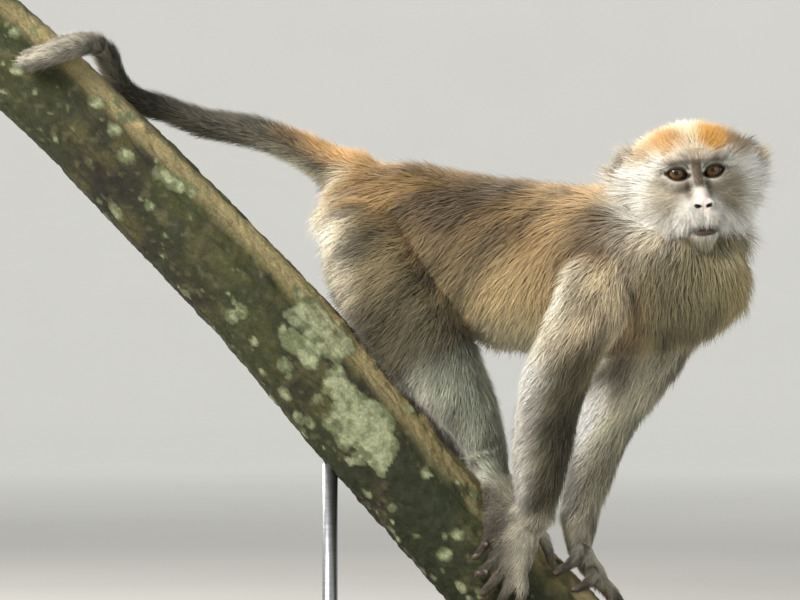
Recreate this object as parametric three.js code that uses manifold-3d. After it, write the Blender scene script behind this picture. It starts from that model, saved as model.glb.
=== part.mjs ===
// A life-size long-tailed macaque, standing bunched on a sloping cut branch with its tail laid over it,
// held by a plain display stand. Millimetres, +Z up. The animal faces +X, its right side is at -Y,
// and its head is turned to its right, to -Y. Every solid reaches to the tips of the coat.
import * as THREE from "three";
import { mergeVertices } from "three/addons/utils/BufferGeometryUtils.js";
import Module from "manifold-3d";

const wasm = await Module();
wasm.setup();

// ---- Driving dimensions ----
const GAP = 0.35; // clearance between pieces that touch
const FACET = 0.3; // facets flatter than this are merged
const LATERAL = new THREE.Vector3(0, 1, 0);

// The branch's centre line, from its high cut end to its low one: x, z, radius. It lies in the plane y = 0.
const PERCH_KEYS = [
  [-402, 676, 45],
  [-331, 615, 45.5],
  [-212, 500, 47],
  [-127, 410, 49.5],
  [-41, 311, 51],
  [31, 227, 49],
  [110, 144, 53],
  [174, 72, 57],
];
const PERCH_RINGS = 17;
const PERCH_SIDES = 14;
const PERCH_RELIEF = 1; // how far the bark swells and sinks
const PERCH_KNOTS = [
  { along: 560, around: 12, size: [11, 9, 6] }, // leaf scar above the feet
  { along: 196, around: 32, size: [8, 7, 5] }, // small knot beside the tail
  { along: 372, around: 62, size: [14, 10, 4] },
  { along: 520, around: -118, size: [15, 12, 7] }, // old twig scar on the far side
];
const KNOT_LIFT = -2; // a knot's middle, over the bark

// The stand: a flat base and two turned rods up to the branch's underside.
const BASE = { length: 430, width: 300, thick: 20, corner: 34, edge: 3 };
const ROD = { radius: 7, foot: 21, footHeight: 5, fillet: 4, sides: 10, reach: 450 };
const ROD_X = [-63, 72];

// The head's own frame: its origin is midway between the eyes, forward is out of the face,
// left is to the animal's left and up is to the crown. All degrees.
const HEAD_AT = new THREE.Vector3(259.5, -100, 526.5);
const HEAD_TURN = 6; // how far short of -Y the face is turned, towards +X
const HEAD_TILT = 5.5; // the animal's left eye is the higher one
const HEAD_NOD = 1; // muzzle down
const EYE = { radius: 9.5, apart: 32.4, sink: 7 };
const SOCKET = { out: 4, up: -0.5, size: [8, 12.5, 8.5] }; // the hollow that opens in front of the eye

const radians = THREE.MathUtils.degToRad;

// ---- Solids ----

// A closed mesh as a solid for joining and cutting.
function solidOf(geometry) {
  const bare = geometry.clone();
  bare.deleteAttribute("normal");
  bare.deleteAttribute("uv");
  const merged = mergeVertices(bare, 1e-4);
  const mesh = new wasm.Mesh({
    numProp: 3,
    vertProperties: new Float32Array(merged.attributes.position.array),
    triVerts: new Uint32Array(merged.index.array),
  });
  return new wasm.Manifold(mesh);
}

const join = (solids) => solids.reduce((all, one) => all.add(one));

// The biggest body of a solid, without the slivers that a cut may leave.
const mainBody = (solid) => solid.decompose().sort((a, b) => b.volume() - a.volume())[0];

function ellipsoid(centre, [a, b, c], segments = 12, turn = new THREE.Matrix4()) {
  const ball = new THREE.SphereGeometry(1, segments, Math.ceil(segments * 0.6)).scale(a, b, c);
  ball.applyMatrix4(turn).translate(centre.x, centre.y, centre.z);
  return solidOf(ball);
}

// A smooth curve through points.
const curveThrough = (points) => new THREE.CatmullRomCurve3(points, false, "catmullrom");

// The centre line of a loft's keys.
const lineOf = (keys) => curveThrough(keys.map(([x, y, z]) => new THREE.Vector3(x, y, z)));

// The sections of a loft: t along the line, out past its end, scale of the section. Each end is a dome.
function loftStations(rings) {
  const slope = Math.SQRT1_2;
  const stations = [{ t: 0, out: -slope, scale: slope }];
  for (let i = 0; i <= rings; i++) stations.push({ t: i / rings, out: 0, scale: 1 });
  stations.push({ t: 1, out: slope, scale: slope });
  return stations;
}

const LOFT = { rings: 16, sides: 14, side: LATERAL, taper: 0, cup: 0, dome: 0.6, grow: 0 };

// A smooth tube through keys of [x, y, z, wide, deep]. "wide" is the half-size along `side`, "deep" the
// half-size across it. taper > 0 makes the section wider on its deep side's low edge, cup bends the
// section into a trough, dome is how far the ends swell out, and grow makes the whole tube bigger.
function loft(keys, options = {}) {
  const { rings, sides, side, taper, cup, dome, grow } = { ...LOFT, ...options };
  const line = lineOf(keys);
  const size = curveThrough(keys.map((k) => new THREE.Vector3(k[3], k[4], 0)));
  const stations = loftStations(rings);
  // Flats and corners lie evenly about the true curve.
  const fullness = (1 + 1 / Math.cos(Math.PI / sides)) / 2;
  const frameAt = (t) => {
    const along = line.getTangent(t);
    const across = side.clone().addScaledVector(along, -side.dot(along)).normalize();
    const up = new THREE.Vector3().crossVectors(along, across);
    return { centre: line.getPoint(t), along, across, up, half: size.getPoint(t).multiplyScalar(fullness) };
  };
  const positions = [];
  const tip = (t, way) => {
    const { centre, along, half } = frameAt(t);
    const reach = dome * Math.min(half.x, half.y) + grow;
    positions.push(...centre.addScaledVector(along, way * reach).toArray());
  };
  tip(0, -1);
  for (const { t, out, scale } of stations) {
    const { centre, along, across, up, half } = frameAt(t);
    const reach = dome * Math.min(half.x, half.y) + grow;
    const middle = centre.clone().addScaledVector(along, out * reach);
    for (let j = 0; j < sides; j++) {
      const angle = (j / sides) * 2 * Math.PI;
      const low = -Math.sin(angle);
      const x = (half.x + grow) * scale * Math.cos(angle) * (1 + taper * low);
      const y = (half.y + grow) * scale * Math.sin(angle) + cup * (x / half.x) ** 2;
      positions.push(...middle.clone().addScaledVector(across, x).addScaledVector(up, y).toArray());
    }
  }
  tip(1, 1);
  const index = [];
  const ringAt = (i, j) => 1 + i * sides + (j % sides);
  const last = stations.length - 1;
  for (let j = 0; j < sides; j++) {
    index.push(0, ringAt(0, j + 1), ringAt(0, j));
    for (let i = 0; i < last; i++) {
      index.push(ringAt(i, j), ringAt(i, j + 1), ringAt(i + 1, j + 1));
      index.push(ringAt(i, j), ringAt(i + 1, j + 1), ringAt(i + 1, j));
    }
    index.push(ringAt(last, j), ringAt(last, j + 1), positions.length / 3 - 1);
  }
  const geometry = new THREE.BufferGeometry();
  geometry.setAttribute("position", new THREE.Float32BufferAttribute(positions, 3));
  geometry.setIndex(index);
  return solidOf(geometry);
}

// ---- The branch ----

const perchLine = new THREE.CatmullRomCurve3(PERCH_KEYS.map(([x, z]) => new THREE.Vector3(x, 0, z)));
const perchSize = new THREE.CatmullRomCurve3(PERCH_KEYS.map(([, , r]) => new THREE.Vector3(r)));
const perchLength = perchLine.getLength();

// The branch's frame at a distance from its high end: centre, its way down, and the way its top faces.
function perchFrame(along) {
  const u = THREE.MathUtils.clamp(along / perchLength, 0, 1);
  const down = perchLine.getTangentAt(u);
  const top = new THREE.Vector3().crossVectors(down, LATERAL).normalize();
  const radius = perchSize.getPoint(perchLine.getUtoTmapping(u)).x;
  return { centre: perchLine.getPointAt(u), down, top, radius };
}

// A point over the bark: `around` is degrees from the top towards -Y, `lift` is its height over the bark.
function onBark(along, around, lift) {
  const { centre, top, radius } = perchFrame(along);
  const reach = radius + lift;
  centre.addScaledVector(top, reach * Math.cos(radians(around)));
  return centre.addScaledVector(LATERAL, -reach * Math.sin(radians(around)));
}

// Long shallow swellings of the bark.
function barkRelief(along, around) {
  return PERCH_RELIEF * (Math.sin(along / 60 + around) + 0.6 * Math.sin(along / 37 - 2 * around + 1));
}

function perchSolid(grow) {
  const positions = [];
  const index = [];
  for (let i = 0; i <= PERCH_RINGS; i++) {
    const along = (i / PERCH_RINGS) * perchLength;
    const { centre, top, radius } = perchFrame(along);
    for (let j = 0; j < PERCH_SIDES; j++) {
      const around = (j / PERCH_SIDES) * 2 * Math.PI;
      const reach = radius + barkRelief(along, around) + grow;
      const point = centre.clone().addScaledVector(top, reach * Math.cos(around));
      positions.push(...point.addScaledVector(LATERAL, -reach * Math.sin(around)).toArray());
    }
  }
  const at = (i, j) => i * PERCH_SIDES + (j % PERCH_SIDES);
  const ends = [perchFrame(0), perchFrame(perchLength)];
  ends.forEach(({ centre }) => positions.push(...centre.toArray()));
  const highEnd = (PERCH_RINGS + 1) * PERCH_SIDES;
  for (let j = 0; j < PERCH_SIDES; j++) {
    for (let i = 0; i < PERCH_RINGS; i++) {
      index.push(at(i, j), at(i + 1, j + 1), at(i + 1, j));
      index.push(at(i, j), at(i, j + 1), at(i + 1, j + 1));
    }
    index.push(highEnd, at(0, j + 1), at(0, j));
    index.push(highEnd + 1, at(PERCH_RINGS, j), at(PERCH_RINGS, j + 1));
  }
  const geometry = new THREE.BufferGeometry();
  geometry.setAttribute("position", new THREE.Float32BufferAttribute(positions, 3));
  geometry.setIndex(index);
  const knots = PERCH_KNOTS.map(({ along, around, size }) => {
    const { down, top } = perchFrame(along);
    const turn = new THREE.Matrix4().makeBasis(down, LATERAL, top);
    const grown = size.map((s) => s + grow);
    return ellipsoid(onBark(along, around, KNOT_LIFT), grown, 8, turn);
  });
  return join([solidOf(geometry), ...knots]);
}

// ---- The animal ----

// A key of a loft, over the bark.
const barkKey = (along, around, lift, wide, deep) => [...onBark(along, around, lift).toArray(), wide, deep];

const TORSO_KEYS = [
  [-62, 48, 482, 32, 28],
  [-45, 46, 487, 44, 44],
  [-9, 40, 486, 50, 58],
  [36, 28, 467, 52, 69],
  [81, 12, 450, 54, 78],
  [130, -8, 445, 56, 76],
  [180, -30, 441, 57, 76],
  [225, -48, 436, 56, 71],
  [262, -63, 438, 51, 62],
  [290, -74, 441, 37, 46],
];

const NECK_KEYS = [
  [205, -42, 446, 48, 54],
  [238, -52, 466, 49, 57],
  [266, -60, 487, 46, 56],
  [276, -64, 505, 40, 46],
];

const TAIL_KEYS = [
  [-10, 38, 508, 26, 27],
  [-36, 44, 524, 25, 26],
  [-63, 48, 536, 21, 22],
  [-92, 51, 552, 18, 19],
  [-131, 54, 567, 16, 17.5],
  [-178, 56, 575, 15, 16],
  [-212, 56, 588, 14, 14.5],
  barkKey(176, -42, 21, 13.5, 13.5),
  barkKey(152, -39, 15, 13, 13),
  barkKey(133, -20, 15, 12.5, 12.5),
  barkKey(118, 9, 16, 12, 12),
  barkKey(105, 40, 13, 12, 12),
  barkKey(96, 64, 12.5, 11.5, 11.5),
  barkKey(87, 82, 12, 11, 11),
  barkKey(77, 94, 11.5, 9.5, 9.5),
];

// Each limb runs from inside the trunk of the body to the knuckles. cuts are the places, as key numbers,
// where it is parted at elbow and wrist, or knee and ankle. A digit is [along, around, lift, radius] keys.
const LIMBS = {
  arm_right: {
    names: ["upper_arm_right", "forearm_right", "hand_right"],
    keys: [
      [186, -62, 450, 26, 37],
      [176, -86, 424, 28, 37],
      [160, -94, 393, 28, 33],
      [143, -90, 358, 27, 31],
      [132, -83, 324, 26, 30],
      [127, -74, 288, 24, 28],
      [124, -64, 258, 21, 24.5],
      [122, -54, 232, 17.5, 19],
      barkKey(690, 47, 17, 12, 18),
      barkKey(700, 64, 11, 9, 18),
      barkKey(707, 76, 10, 8, 17),
    ],
    cuts: [3, 7],
    digits: [
      [[693, 38, 18, 6.5], [707, 34, 13, 6], [720, 36, 8, 5.2], [730, 42, 4, 4.4]],
      [[716, 72, 11, 6.2], [728, 82, 11, 5.6], [737, 93, 8, 5], [741, 102, 4, 4]],
      [[711, 76, 11, 6.2], [718, 89, 11, 5.8], [723, 101, 8, 5], [725, 111, 4, 4.2]],
      [[703, 78, 11, 6.2], [705, 91, 11, 5.6], [707, 103, 8, 5], [708, 112, 4, 4]],
      [[695, 76, 10, 5.8], [693, 86, 10, 5.2], [692, 96, 7.5, 4.6], [692, 104, 4, 3.8]],
    ],
  },
  arm_left: {
    names: ["upper_arm_left", "forearm_left", "hand_left"],
    keys: [
      [252, -38, 448, 30, 40],
      [244, -10, 411, 30, 38],
      [229, 10, 374, 29, 35],
      [207, 22, 340, 27, 33],
      [190, 28, 308, 25, 27.5],
      [178, 31, 275, 23, 24.5],
      [170, 30, 246, 20, 22],
      [163, 26, 224, 17, 18.5],
      barkKey(742, -16, 19, 17, 11),
      barkKey(760, -8, 13, 18, 9),
      barkKey(770, -4, 10, 17, 8),
    ],
    cuts: [3, 7],
    digits: [
      [[742, 0, 18, 6.5], [743, 17, 14, 6], [742, 33, 9, 5.2], [739, 47, 4, 4.4]],
      [[761, 10, 12, 6.2], [765, 22, 12, 5.6], [764, 35, 8, 5], [760, 46, 4, 4]],
      [[771, 3, 11, 6.2], [782, 10, 11, 5.8], [791, 18, 8, 5], [797, 27, 4, 4.2]],
      [[773, -7, 11, 6.2], [788, -5, 11, 5.6], [801, 0, 8, 5], [810, 5, 4, 4]],
      [[770, -17, 10, 5.8], [783, -18, 10, 5.2], [795, -16, 7.5, 4.6], [804, -13, 4, 3.8]],
    ],
  },
  leg_right: {
    names: ["thigh_right", "shank_right", "foot_right"],
    keys: [
      [-29, 14, 490, 32, 42],
      [-22, 1, 459, 35, 46],
      [-8, -10, 424, 34, 44],
      [14, -18, 392, 31, 44],
      [33, -23, 361, 28, 39],
      [53, -26, 328, 24, 33],
      [69, -27, 298, 20, 26],
      [81, -26, 269, 16, 18],
      [87, -24, 252, 14, 15],
      barkKey(652, 26, 12, 12, 17),
      barkKey(668, 43, 9.5, 10, 18),
      barkKey(678, 55, 9, 8.5, 18),
    ],
    cuts: [4, 8],
    digits: [
      [[662, 18, 13, 7.5], [675, 12, 11, 6.8], [687, 9, 7, 5.8], [696, 10, 4, 4.6]],
      [[691, 48, 10, 6.2], [702, 57, 10, 5.6], [710, 67, 7, 5], [715, 76, 4, 4.2]],
      [[685, 54, 10, 6.2], [695, 65, 10, 5.6], [702, 76, 7, 5], [706, 86, 4, 4.2]],
      [[678, 59, 10, 6.2], [686, 71, 10, 5.6], [691, 82, 7, 5], [694, 92, 4, 4.2]],
      [[670, 61, 9, 5.8], [675, 73, 9, 5.2], [678, 84, 6.5, 4.6], [680, 93, 4, 3.8]],
    ],
    heel: [[80, -20, 256, 14, 14], barkKey(633, 14, 12, 13, 13)],
  },
  leg_left: {
    names: ["thigh_left", "shank_left", "foot_left"],
    keys: [
      [-31, 62, 490, 32, 42],
      [-26, 74, 459, 35, 46],
      [-14, 79, 424, 34, 44],
      [4, 78, 392, 31, 44],
      [21, 73, 361, 28, 39],
      [37, 67, 330, 24, 33],
      [51, 60, 303, 20, 26],
      [59, 52, 280, 16, 18],
      [62, 45, 264, 14, 15],
      barkKey(624, -46, 12, 12, 17),
      barkKey(638, -60, 9.5, 10, 18),
      barkKey(646, -70, 9, 8.5, 18),
    ],
    cuts: [4, 8],
    digits: [
      [[634, -37, 13, 7.5], [647, -33, 11, 6.8], [659, -32, 7, 5.8], [668, -34, 4, 4.6]],
      [[659, -65, 10, 6.2], [670, -74, 10, 5.6], [678, -84, 7, 5], [683, -93, 4, 4.2]],
      [[653, -71, 10, 6.2], [662, -82, 10, 5.6], [669, -93, 7, 5], [673, -103, 4, 4.2]],
      [[646, -75, 10, 6.2], [653, -87, 10, 5.6], [658, -98, 7, 5], [661, -108, 4, 4.2]],
      [[638, -76, 9, 5.8], [642, -88, 9, 5.2], [645, -99, 6.5, 4.6], [647, -108, 4, 3.8]],
    ],
    heel: [[56, 42, 268, 14, 14], barkKey(606, -36, 12, 13, 13)],
  },
};

// The head frame's own axes, in the part's frame.
function headMatrix() {
  const forward = new THREE.Vector3(0, -1, 0);
  const left = new THREE.Vector3(1, 0, 0);
  const turn = new THREE.Matrix4().makeBasis(forward, left, new THREE.Vector3(0, 0, 1));
  const yaw = new THREE.Matrix4().makeRotationZ(radians(HEAD_TURN));
  const nod = new THREE.Matrix4().makeRotationY(radians(HEAD_NOD));
  const tilt = new THREE.Matrix4().makeRotationX(radians(HEAD_TILT));
  const place = new THREE.Matrix4().makeTranslation(HEAD_AT);
  return place.multiply(yaw).multiply(turn).multiply(nod).multiply(tilt);
}
const toHead = headMatrix();
const inHead = (forward, left, up) => new THREE.Vector3(forward, left, up).applyMatrix4(toHead);
const headAxis = (forward, left, up) => new THREE.Vector3(forward, left, up).transformDirection(toHead);
const headKey = (forward, left, up, ...size) => [...inHead(forward, left, up).toArray(), ...size];

// Skull with its ruff of whiskers, brow ridge, muzzle, nose and chin.
function headSolid(grow) {
  const side = headAxis(0, 1, 0);
  const skull = [
    headKey(-80, 6, 4, 20, 20),
    headKey(-71, 6, 2, 42, 37),
    headKey(-54, 5, -3, 59, 50),
    headKey(-38, 4, -8, 68, 55),
    headKey(-24, 3, -12, 68, 55),
    headKey(-11, 1, -14, 57, 47),
    headKey(-3, 0, -15, 46, 37),
    headKey(3, 0, -13, 35, 27),
  ];
  const muzzle = [
    headKey(-10, 0, -27, 34, 28),
    headKey(5, 0, -31, 29, 25),
    headKey(15, 0, -38, 25, 22),
    headKey(23, 0, -43, 21, 18),
    headKey(27, 0, -45, 16, 13),
  ];
  const nose = [
    headKey(0, 0, 5, 8, 5),
    headKey(7, 0, -8, 8, 6),
    headKey(16, 0, -20, 8.5, 6.5),
    headKey(24, 0, -29, 10, 7),
  ];
  const brow = [-1, -0.5, 0, 0.5, 1].map((k) => headKey(4 - 9 * k * k, 33 * k, 13 - 6.5 * k * k, 8, 5));
  const chin = inHead(17, 0, -57);
  return join([
    loft(skull, { rings: 9, sides: 16, side, taper: 0.13, dome: 0.25, grow }),
    loft(muzzle, { rings: 5, sides: 12, side, dome: 0.4, grow }),
    loft(nose, { rings: 3, sides: 8, side, dome: 0.5, grow }),
    loft(brow, { rings: 6, sides: 6, side: headAxis(1, 0, 0), dome: 0.6, grow }),
    ellipsoid(chin, [13 + grow, 13 + grow, 9 + grow], 9),
  ]);
}

// The hollow that opens in front of an eye.
function socketSolid(way) {
  const centre = inHead(SOCKET.out, (way * EYE.apart) / 2, SOCKET.up);
  return ellipsoid(centre, SOCKET.size, 10, toHead.clone().setPosition(0, 0, 0));
}

const eyeCentre = (way) => inHead(-EYE.sink, (way * EYE.apart) / 2, 0);

function eyeSolid(way, grow) {
  const r = EYE.radius + grow;
  return ellipsoid(eyeCentre(way), [r, r, r], 10);
}

// A cupped ear, standing out of the side of the head and turned a little forward.
function earSolid(way) {
  const keys = [
    headKey(-37, way * 47, -20, 8, 2.4),
    headKey(-42, way * 54, -10, 12, 2.4),
    headKey(-46, way * 58, 2, 15, 2.2),
    headKey(-49, way * 59, 13, 14, 2.0),
    headKey(-50, way * 58, 22, 9, 1.8),
    headKey(-50, way * 57, 26, 4, 1.6),
  ];
  const side = headAxis(-0.55, way * 0.83, 0);
  return loft(keys, { rings: 6, sides: 9, side, cup: way * 4, dome: 0.5 });
}

function digitSolid(digit, grow) {
  const keys = digit.map(([along, around, lift, radius]) => barkKey(along, around, lift, radius, radius));
  return loft(keys, { rings: 3, sides: 5, dome: 0.9, grow });
}

// A whole limb with its digits, and its three named parts.
function limbSolid({ keys, digits, heel }, grow) {
  const shaft = loft(keys, { rings: 14, sides: 10, grow });
  const heels = heel ? [loft(heel, { rings: 3, sides: 12, grow })] : [];
  return join([shaft, ...heels, ...digits.map((digit) => digitSolid(digit, grow))]);
}

// Parts a solid in two at a key of its line, leaving a thin gap.
function partAt(solid, keys, number) {
  const line = lineOf(keys);
  const t = number / (keys.length - 1);
  const normal = line.getTangent(t);
  const offset = line.getPoint(t).dot(normal);
  const after = solid.trimByPlane(normal.toArray(), offset + GAP / 2);
  const before = solid.trimByPlane(normal.clone().negate().toArray(), -offset + GAP / 2);
  return [before, after];
}

// ---- Putting it together ----

const perch = perchSolid(0);
const perchRoom = perchSolid(GAP);
const head = headSolid(0);
const headRoom = headSolid(GAP);
const eyeRoom = join([eyeSolid(1, GAP), eyeSolid(-1, GAP), socketSolid(1), socketSolid(-1)]);
const neckOptions = { rings: 5, sides: 16, dome: 0.5 };
const tailOptions = { rings: 28, sides: 7, dome: 0.9 };
const neckWhole = loft(NECK_KEYS, neckOptions);
const tailWhole = loft(TAIL_KEYS, tailOptions);

const solids = {};
solids.head = head.subtract(eyeRoom);
solids.eye_right = eyeSolid(-1, 0);
solids.eye_left = eyeSolid(1, 0);

const torsoOptions = { rings: 12, sides: 16, taper: -0.1, dome: 0.55 };
const torsoRoom = loft(TORSO_KEYS, { ...torsoOptions, grow: GAP });
const neckRoom = loft(NECK_KEYS, { ...neckOptions, grow: GAP }).add(headRoom);
solids.torso = loft(TORSO_KEYS, torsoOptions).subtract(headRoom);
solids.neck = neckWhole.subtract(torsoRoom.add(headRoom));
solids.ear_right = earSolid(-1).subtract(torsoRoom.add(neckRoom));
solids.ear_left = earSolid(1).subtract(torsoRoom.add(neckRoom));

const room = join([torsoRoom, neckRoom, perchRoom]);
const limbRooms = [];
Object.values(LIMBS).forEach((limb) => {
  const whole = limbSolid(limb, 0).subtract(join([room, ...limbRooms]));
  limbRooms.push(limbSolid(limb, GAP));
  const [upper, rest] = partAt(whole, limb.keys, limb.cuts[0]);
  const [lower, end] = partAt(rest, limb.keys, limb.cuts[1]);
  limb.names.forEach((name, k) => (solids[name] = [upper, lower, end][k]));
});

const TAIL_CUTS = [4, 6, 9];
let tailRest = tailWhole.subtract(join([torsoRoom, perchRoom, ...limbRooms]));
TAIL_CUTS.forEach((number, i) => {
  const [before, after] = partAt(tailRest, TAIL_KEYS, number);
  solids[`tail_${i + 1}`] = before;
  tailRest = after;
});
solids[`tail_${TAIL_CUTS.length + 1}`] = tailRest;

// The stand's base, with rounded corners and softened edges.
function baseGeometry() {
  const { length, width, thick, corner, edge } = BASE;
  const x = length / 2 - edge - corner;
  const y = width / 2 - edge - corner;
  const outline = new THREE.Shape();
  [[x, y, 0], [-x, y, 90], [-x, -y, 180], [x, -y, 270]].forEach(([cx, cy, from]) => {
    outline.absarc(cx, cy, corner, radians(from), radians(from + 90));
  });
  const bevel = { bevelSize: edge, bevelThickness: edge, bevelSegments: 1 };
  const options = { depth: thick - 2 * edge, curveSegments: 4, ...bevel };
  return new THREE.ExtrudeGeometry(outline, options).translate(0, 0, edge);
}

// A rod turned in one piece with its round foot, from the base up into the branch.
function rodSolid(x) {
  const { radius, foot, footHeight, fillet, sides, reach } = ROD;
  const floor = BASE.thick + GAP;
  const profile = [[0, 0], [foot - 1, 0], [foot, 1], [foot, footHeight - 1], [foot - 1, footHeight]];
  for (let i = 0; i <= 3; i++) {
    const a = (i / 3) * (Math.PI / 2);
    profile.push([radius + fillet * (1 - Math.sin(a)), footHeight + fillet * (1 - Math.cos(a))]);
  }
  profile.push([radius, reach], [0, reach]);
  const points = profile.map(([r, z]) => new THREE.Vector2(r, z));
  const turned = new THREE.LatheGeometry(points, sides);
  turned.rotateX(Math.PI / 2).translate(x, 0, floor);
  return mainBody(solidOf(turned).subtract(perchRoom).trimByPlane([0, 0, -1], -perchUnder(x)));
}

// A height inside the branch over x, to cut off what is above it.
function perchUnder(x) {
  for (let along = 0; along < perchLength; along += 1) {
    const { centre } = perchFrame(along);
    if (centre.x >= x) return centre.z;
  }
  return 0;
}

solids.perch = perch;

// ---- Materials and the group ----

function material(color, roughness, metalness = 0) {
  return new THREE.MeshStandardMaterial({ color, roughness, metalness });
}
const coatBack = material(0x9a8263, 0.85);
const coatPale = material(0xb8b0a0, 0.85);
const coatGrey = material(0x86827b, 0.85);
const iris = material(0x8a5a22, 0.15);
const ear = material(0x8f827a, 0.7);
const bark = material(0x6d6754, 0.9);
const walnut = material(0x4a3223, 0.45);
const steel = material(0x9a9c9f, 0.35, 1);

const MATERIAL_OF = [
  [/^eye/, iris],
  [/^ear/, ear],
  [/^(torso|upper_arm|thigh)/, coatBack],
  [/^(head|neck)/, coatPale],
  [/^perch/, bark],
  [/./, coatGrey],
];

function meshOf(name, geometry, look) {
  const mesh = new THREE.Mesh(geometry, look);
  mesh.name = name;
  return mesh;
}

function geometryOf(solid) {
  const { vertProperties, triVerts } = mainBody(solid.simplify(FACET)).getMesh();
  const geometry = new THREE.BufferGeometry();
  geometry.setAttribute("position", new THREE.BufferAttribute(vertProperties, 3));
  geometry.setIndex(new THREE.BufferAttribute(triVerts, 1));
  geometry.computeVertexNormals();
  return geometry;
}

const model = new THREE.Group();
for (const [name, solid] of Object.entries(solids)) {
  const [, look] = MATERIAL_OF.find(([pattern]) => pattern.test(name));
  model.add(meshOf(name, geometryOf(solid), look));
}
model.add(meshOf("stand_base", baseGeometry(), walnut));
ROD_X.forEach((x, i) => model.add(meshOf(`stand_rod_${i + 1}`, geometryOf(rodSolid(x)), steel)));

// The part's origin is under the middle of its box, on the floor.
const box = new THREE.Box3().setFromObject(model);
const middle = box.getCenter(new THREE.Vector3());
model.position.set(-middle.x, -middle.y, -box.min.z);

const part = new THREE.Group();
part.add(model);
export default part;
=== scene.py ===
"""A life-size long-tailed macaque on a cut branch and a plain stand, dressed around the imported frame.

Lengths inside this script are millimetres in the row frame; MM turns them into Blender's metres.
"""

import math

import bpy
import numpy as np
import openvdb as vdb
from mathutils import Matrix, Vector


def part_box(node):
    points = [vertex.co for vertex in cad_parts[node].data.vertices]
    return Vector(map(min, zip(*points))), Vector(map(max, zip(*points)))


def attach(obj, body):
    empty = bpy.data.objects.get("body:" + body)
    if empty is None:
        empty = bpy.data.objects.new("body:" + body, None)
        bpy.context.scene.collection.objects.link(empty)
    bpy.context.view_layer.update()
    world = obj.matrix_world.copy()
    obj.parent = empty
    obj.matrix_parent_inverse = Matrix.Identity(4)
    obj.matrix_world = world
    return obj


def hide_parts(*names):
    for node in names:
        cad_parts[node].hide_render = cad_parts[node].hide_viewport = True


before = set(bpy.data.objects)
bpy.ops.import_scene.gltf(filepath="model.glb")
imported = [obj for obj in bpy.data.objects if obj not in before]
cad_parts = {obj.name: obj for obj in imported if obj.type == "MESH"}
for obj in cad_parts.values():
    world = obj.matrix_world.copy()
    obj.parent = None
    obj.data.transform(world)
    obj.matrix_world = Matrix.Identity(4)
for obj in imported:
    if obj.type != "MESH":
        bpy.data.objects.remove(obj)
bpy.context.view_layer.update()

MM = 0.001
SIDES = ("right", "left")
RNG = np.random.default_rng(11)

# ---- the frame's nodes


def node_mesh(name):
    """A CAD node's vertices in millimetres, and its triangles."""
    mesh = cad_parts[name].data
    co = np.empty(len(mesh.vertices) * 3, np.float32)
    mesh.vertices.foreach_get("co", co)
    mesh.calc_loop_triangles()
    tri = np.empty(len(mesh.loop_triangles) * 3, np.int32)
    mesh.loop_triangles.foreach_get("vertices", tri)
    return co.reshape(-1, 3) / MM, tri.reshape(-1, 3).astype(np.uint32)


def node_box(name):
    low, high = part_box(name)
    return np.array(low) / MM, np.array(high) / MM


def node_middle(name):
    low, high = node_box(name)
    return (low + high) / 2


def norm(v):
    return np.linalg.norm(v, axis=-1)


def unit(v):
    v = np.asarray(v, float)
    return v / np.maximum(np.linalg.norm(v, axis=-1, keepdims=True), 1e-9)


LIMBS = [f"{part}_{side}" for side in SIDES for part in ("upper_arm", "forearm", "thigh", "shank")]
ENDS = [f"{part}_{side}" for side in SIDES for part in ("hand", "foot")]
TAILS = ["tail_1", "tail_2", "tail_3", "tail_4"]
EARS = [f"ear_{side}" for side in SIDES]
FLESH = ["torso", "neck", "head", *EARS, *LIMBS, *ENDS, *TAILS]

# How far the skin lies under the coat's tips, by node.
DEPTH = {"torso": 8.5, "neck": 11.0, "head": 16.0, "ear": 0.4, "upper_arm": 6.5, "forearm": 5.5,
         "thigh": 7.5, "shank": 5.0, "hand": 1.4, "foot": 1.4, "tail_1": 6.5, "tail_2": 5.0,
         "tail_3": 4.0, "tail_4": 3.6}


def by_part(table, node):
    """The entry of a table for a node: its own name, or its name without the side."""
    return table.get(node, table.get(node.rsplit("_", 1)[0]))


# ---- the head's own frame

# Forward is out of the face, left is the animal's left, up is to the crown; the origin is midway
# between the eyes, at the front of the face.
EYE_SINK = 7.0
HEAD_NOD = math.radians(1)

eye_right = node_middle("eye_right")
eye_left = node_middle("eye_left")
EYE_R = (node_box("eye_left")[1] - node_box("eye_left")[0])[0] / 2
LEFT = unit(eye_left - eye_right)
level = unit(np.cross(LEFT, (0, 0, 1)))
AHEAD = unit(level * math.cos(HEAD_NOD) + np.array((0, 0, -1)) * math.sin(HEAD_NOD))
UP = np.cross(AHEAD, LEFT)
HEAD_AT = (eye_left + eye_right) / 2 + AHEAD * EYE_SINK
HEAD_AXES = np.stack([AHEAD, LEFT, UP])
EYE_OUT = np.linalg.norm(eye_left - eye_right) / 2


def to_head(points):
    return (np.asarray(points, float) - HEAD_AT) @ HEAD_AXES.T


# ---- the branch's own line

perch_co, perch_tri = node_mesh("perch")
PERCH_AT = perch_co.mean(0)
PERCH_WAY = np.linalg.svd(perch_co - PERCH_AT, full_matrices=False)[2][0]
PERCH_WAY = PERCH_WAY * np.sign(PERCH_WAY[0])


def from_branch(points):
    """The way from the branch's middle line to each place."""
    q = points - PERCH_AT
    return q - (q @ PERCH_WAY)[..., None] * PERCH_WAY


# ---- soft solids


def ease(low, high, value):
    t = np.clip((value - low) / (high - low), 0, 1)
    return t * t * (3 - 2 * t)


def melt(a, b, width):
    """The union of two distance fields, blended over a width."""
    h = np.clip(0.5 + 0.5 * (b - a) / width, 0, 1)
    return b + (a - b) * h - width * h * (1 - h)


def carve(a, b, width):
    """Field a with field b taken away, with a softened rim."""
    return -melt(-a, b, width)


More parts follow.
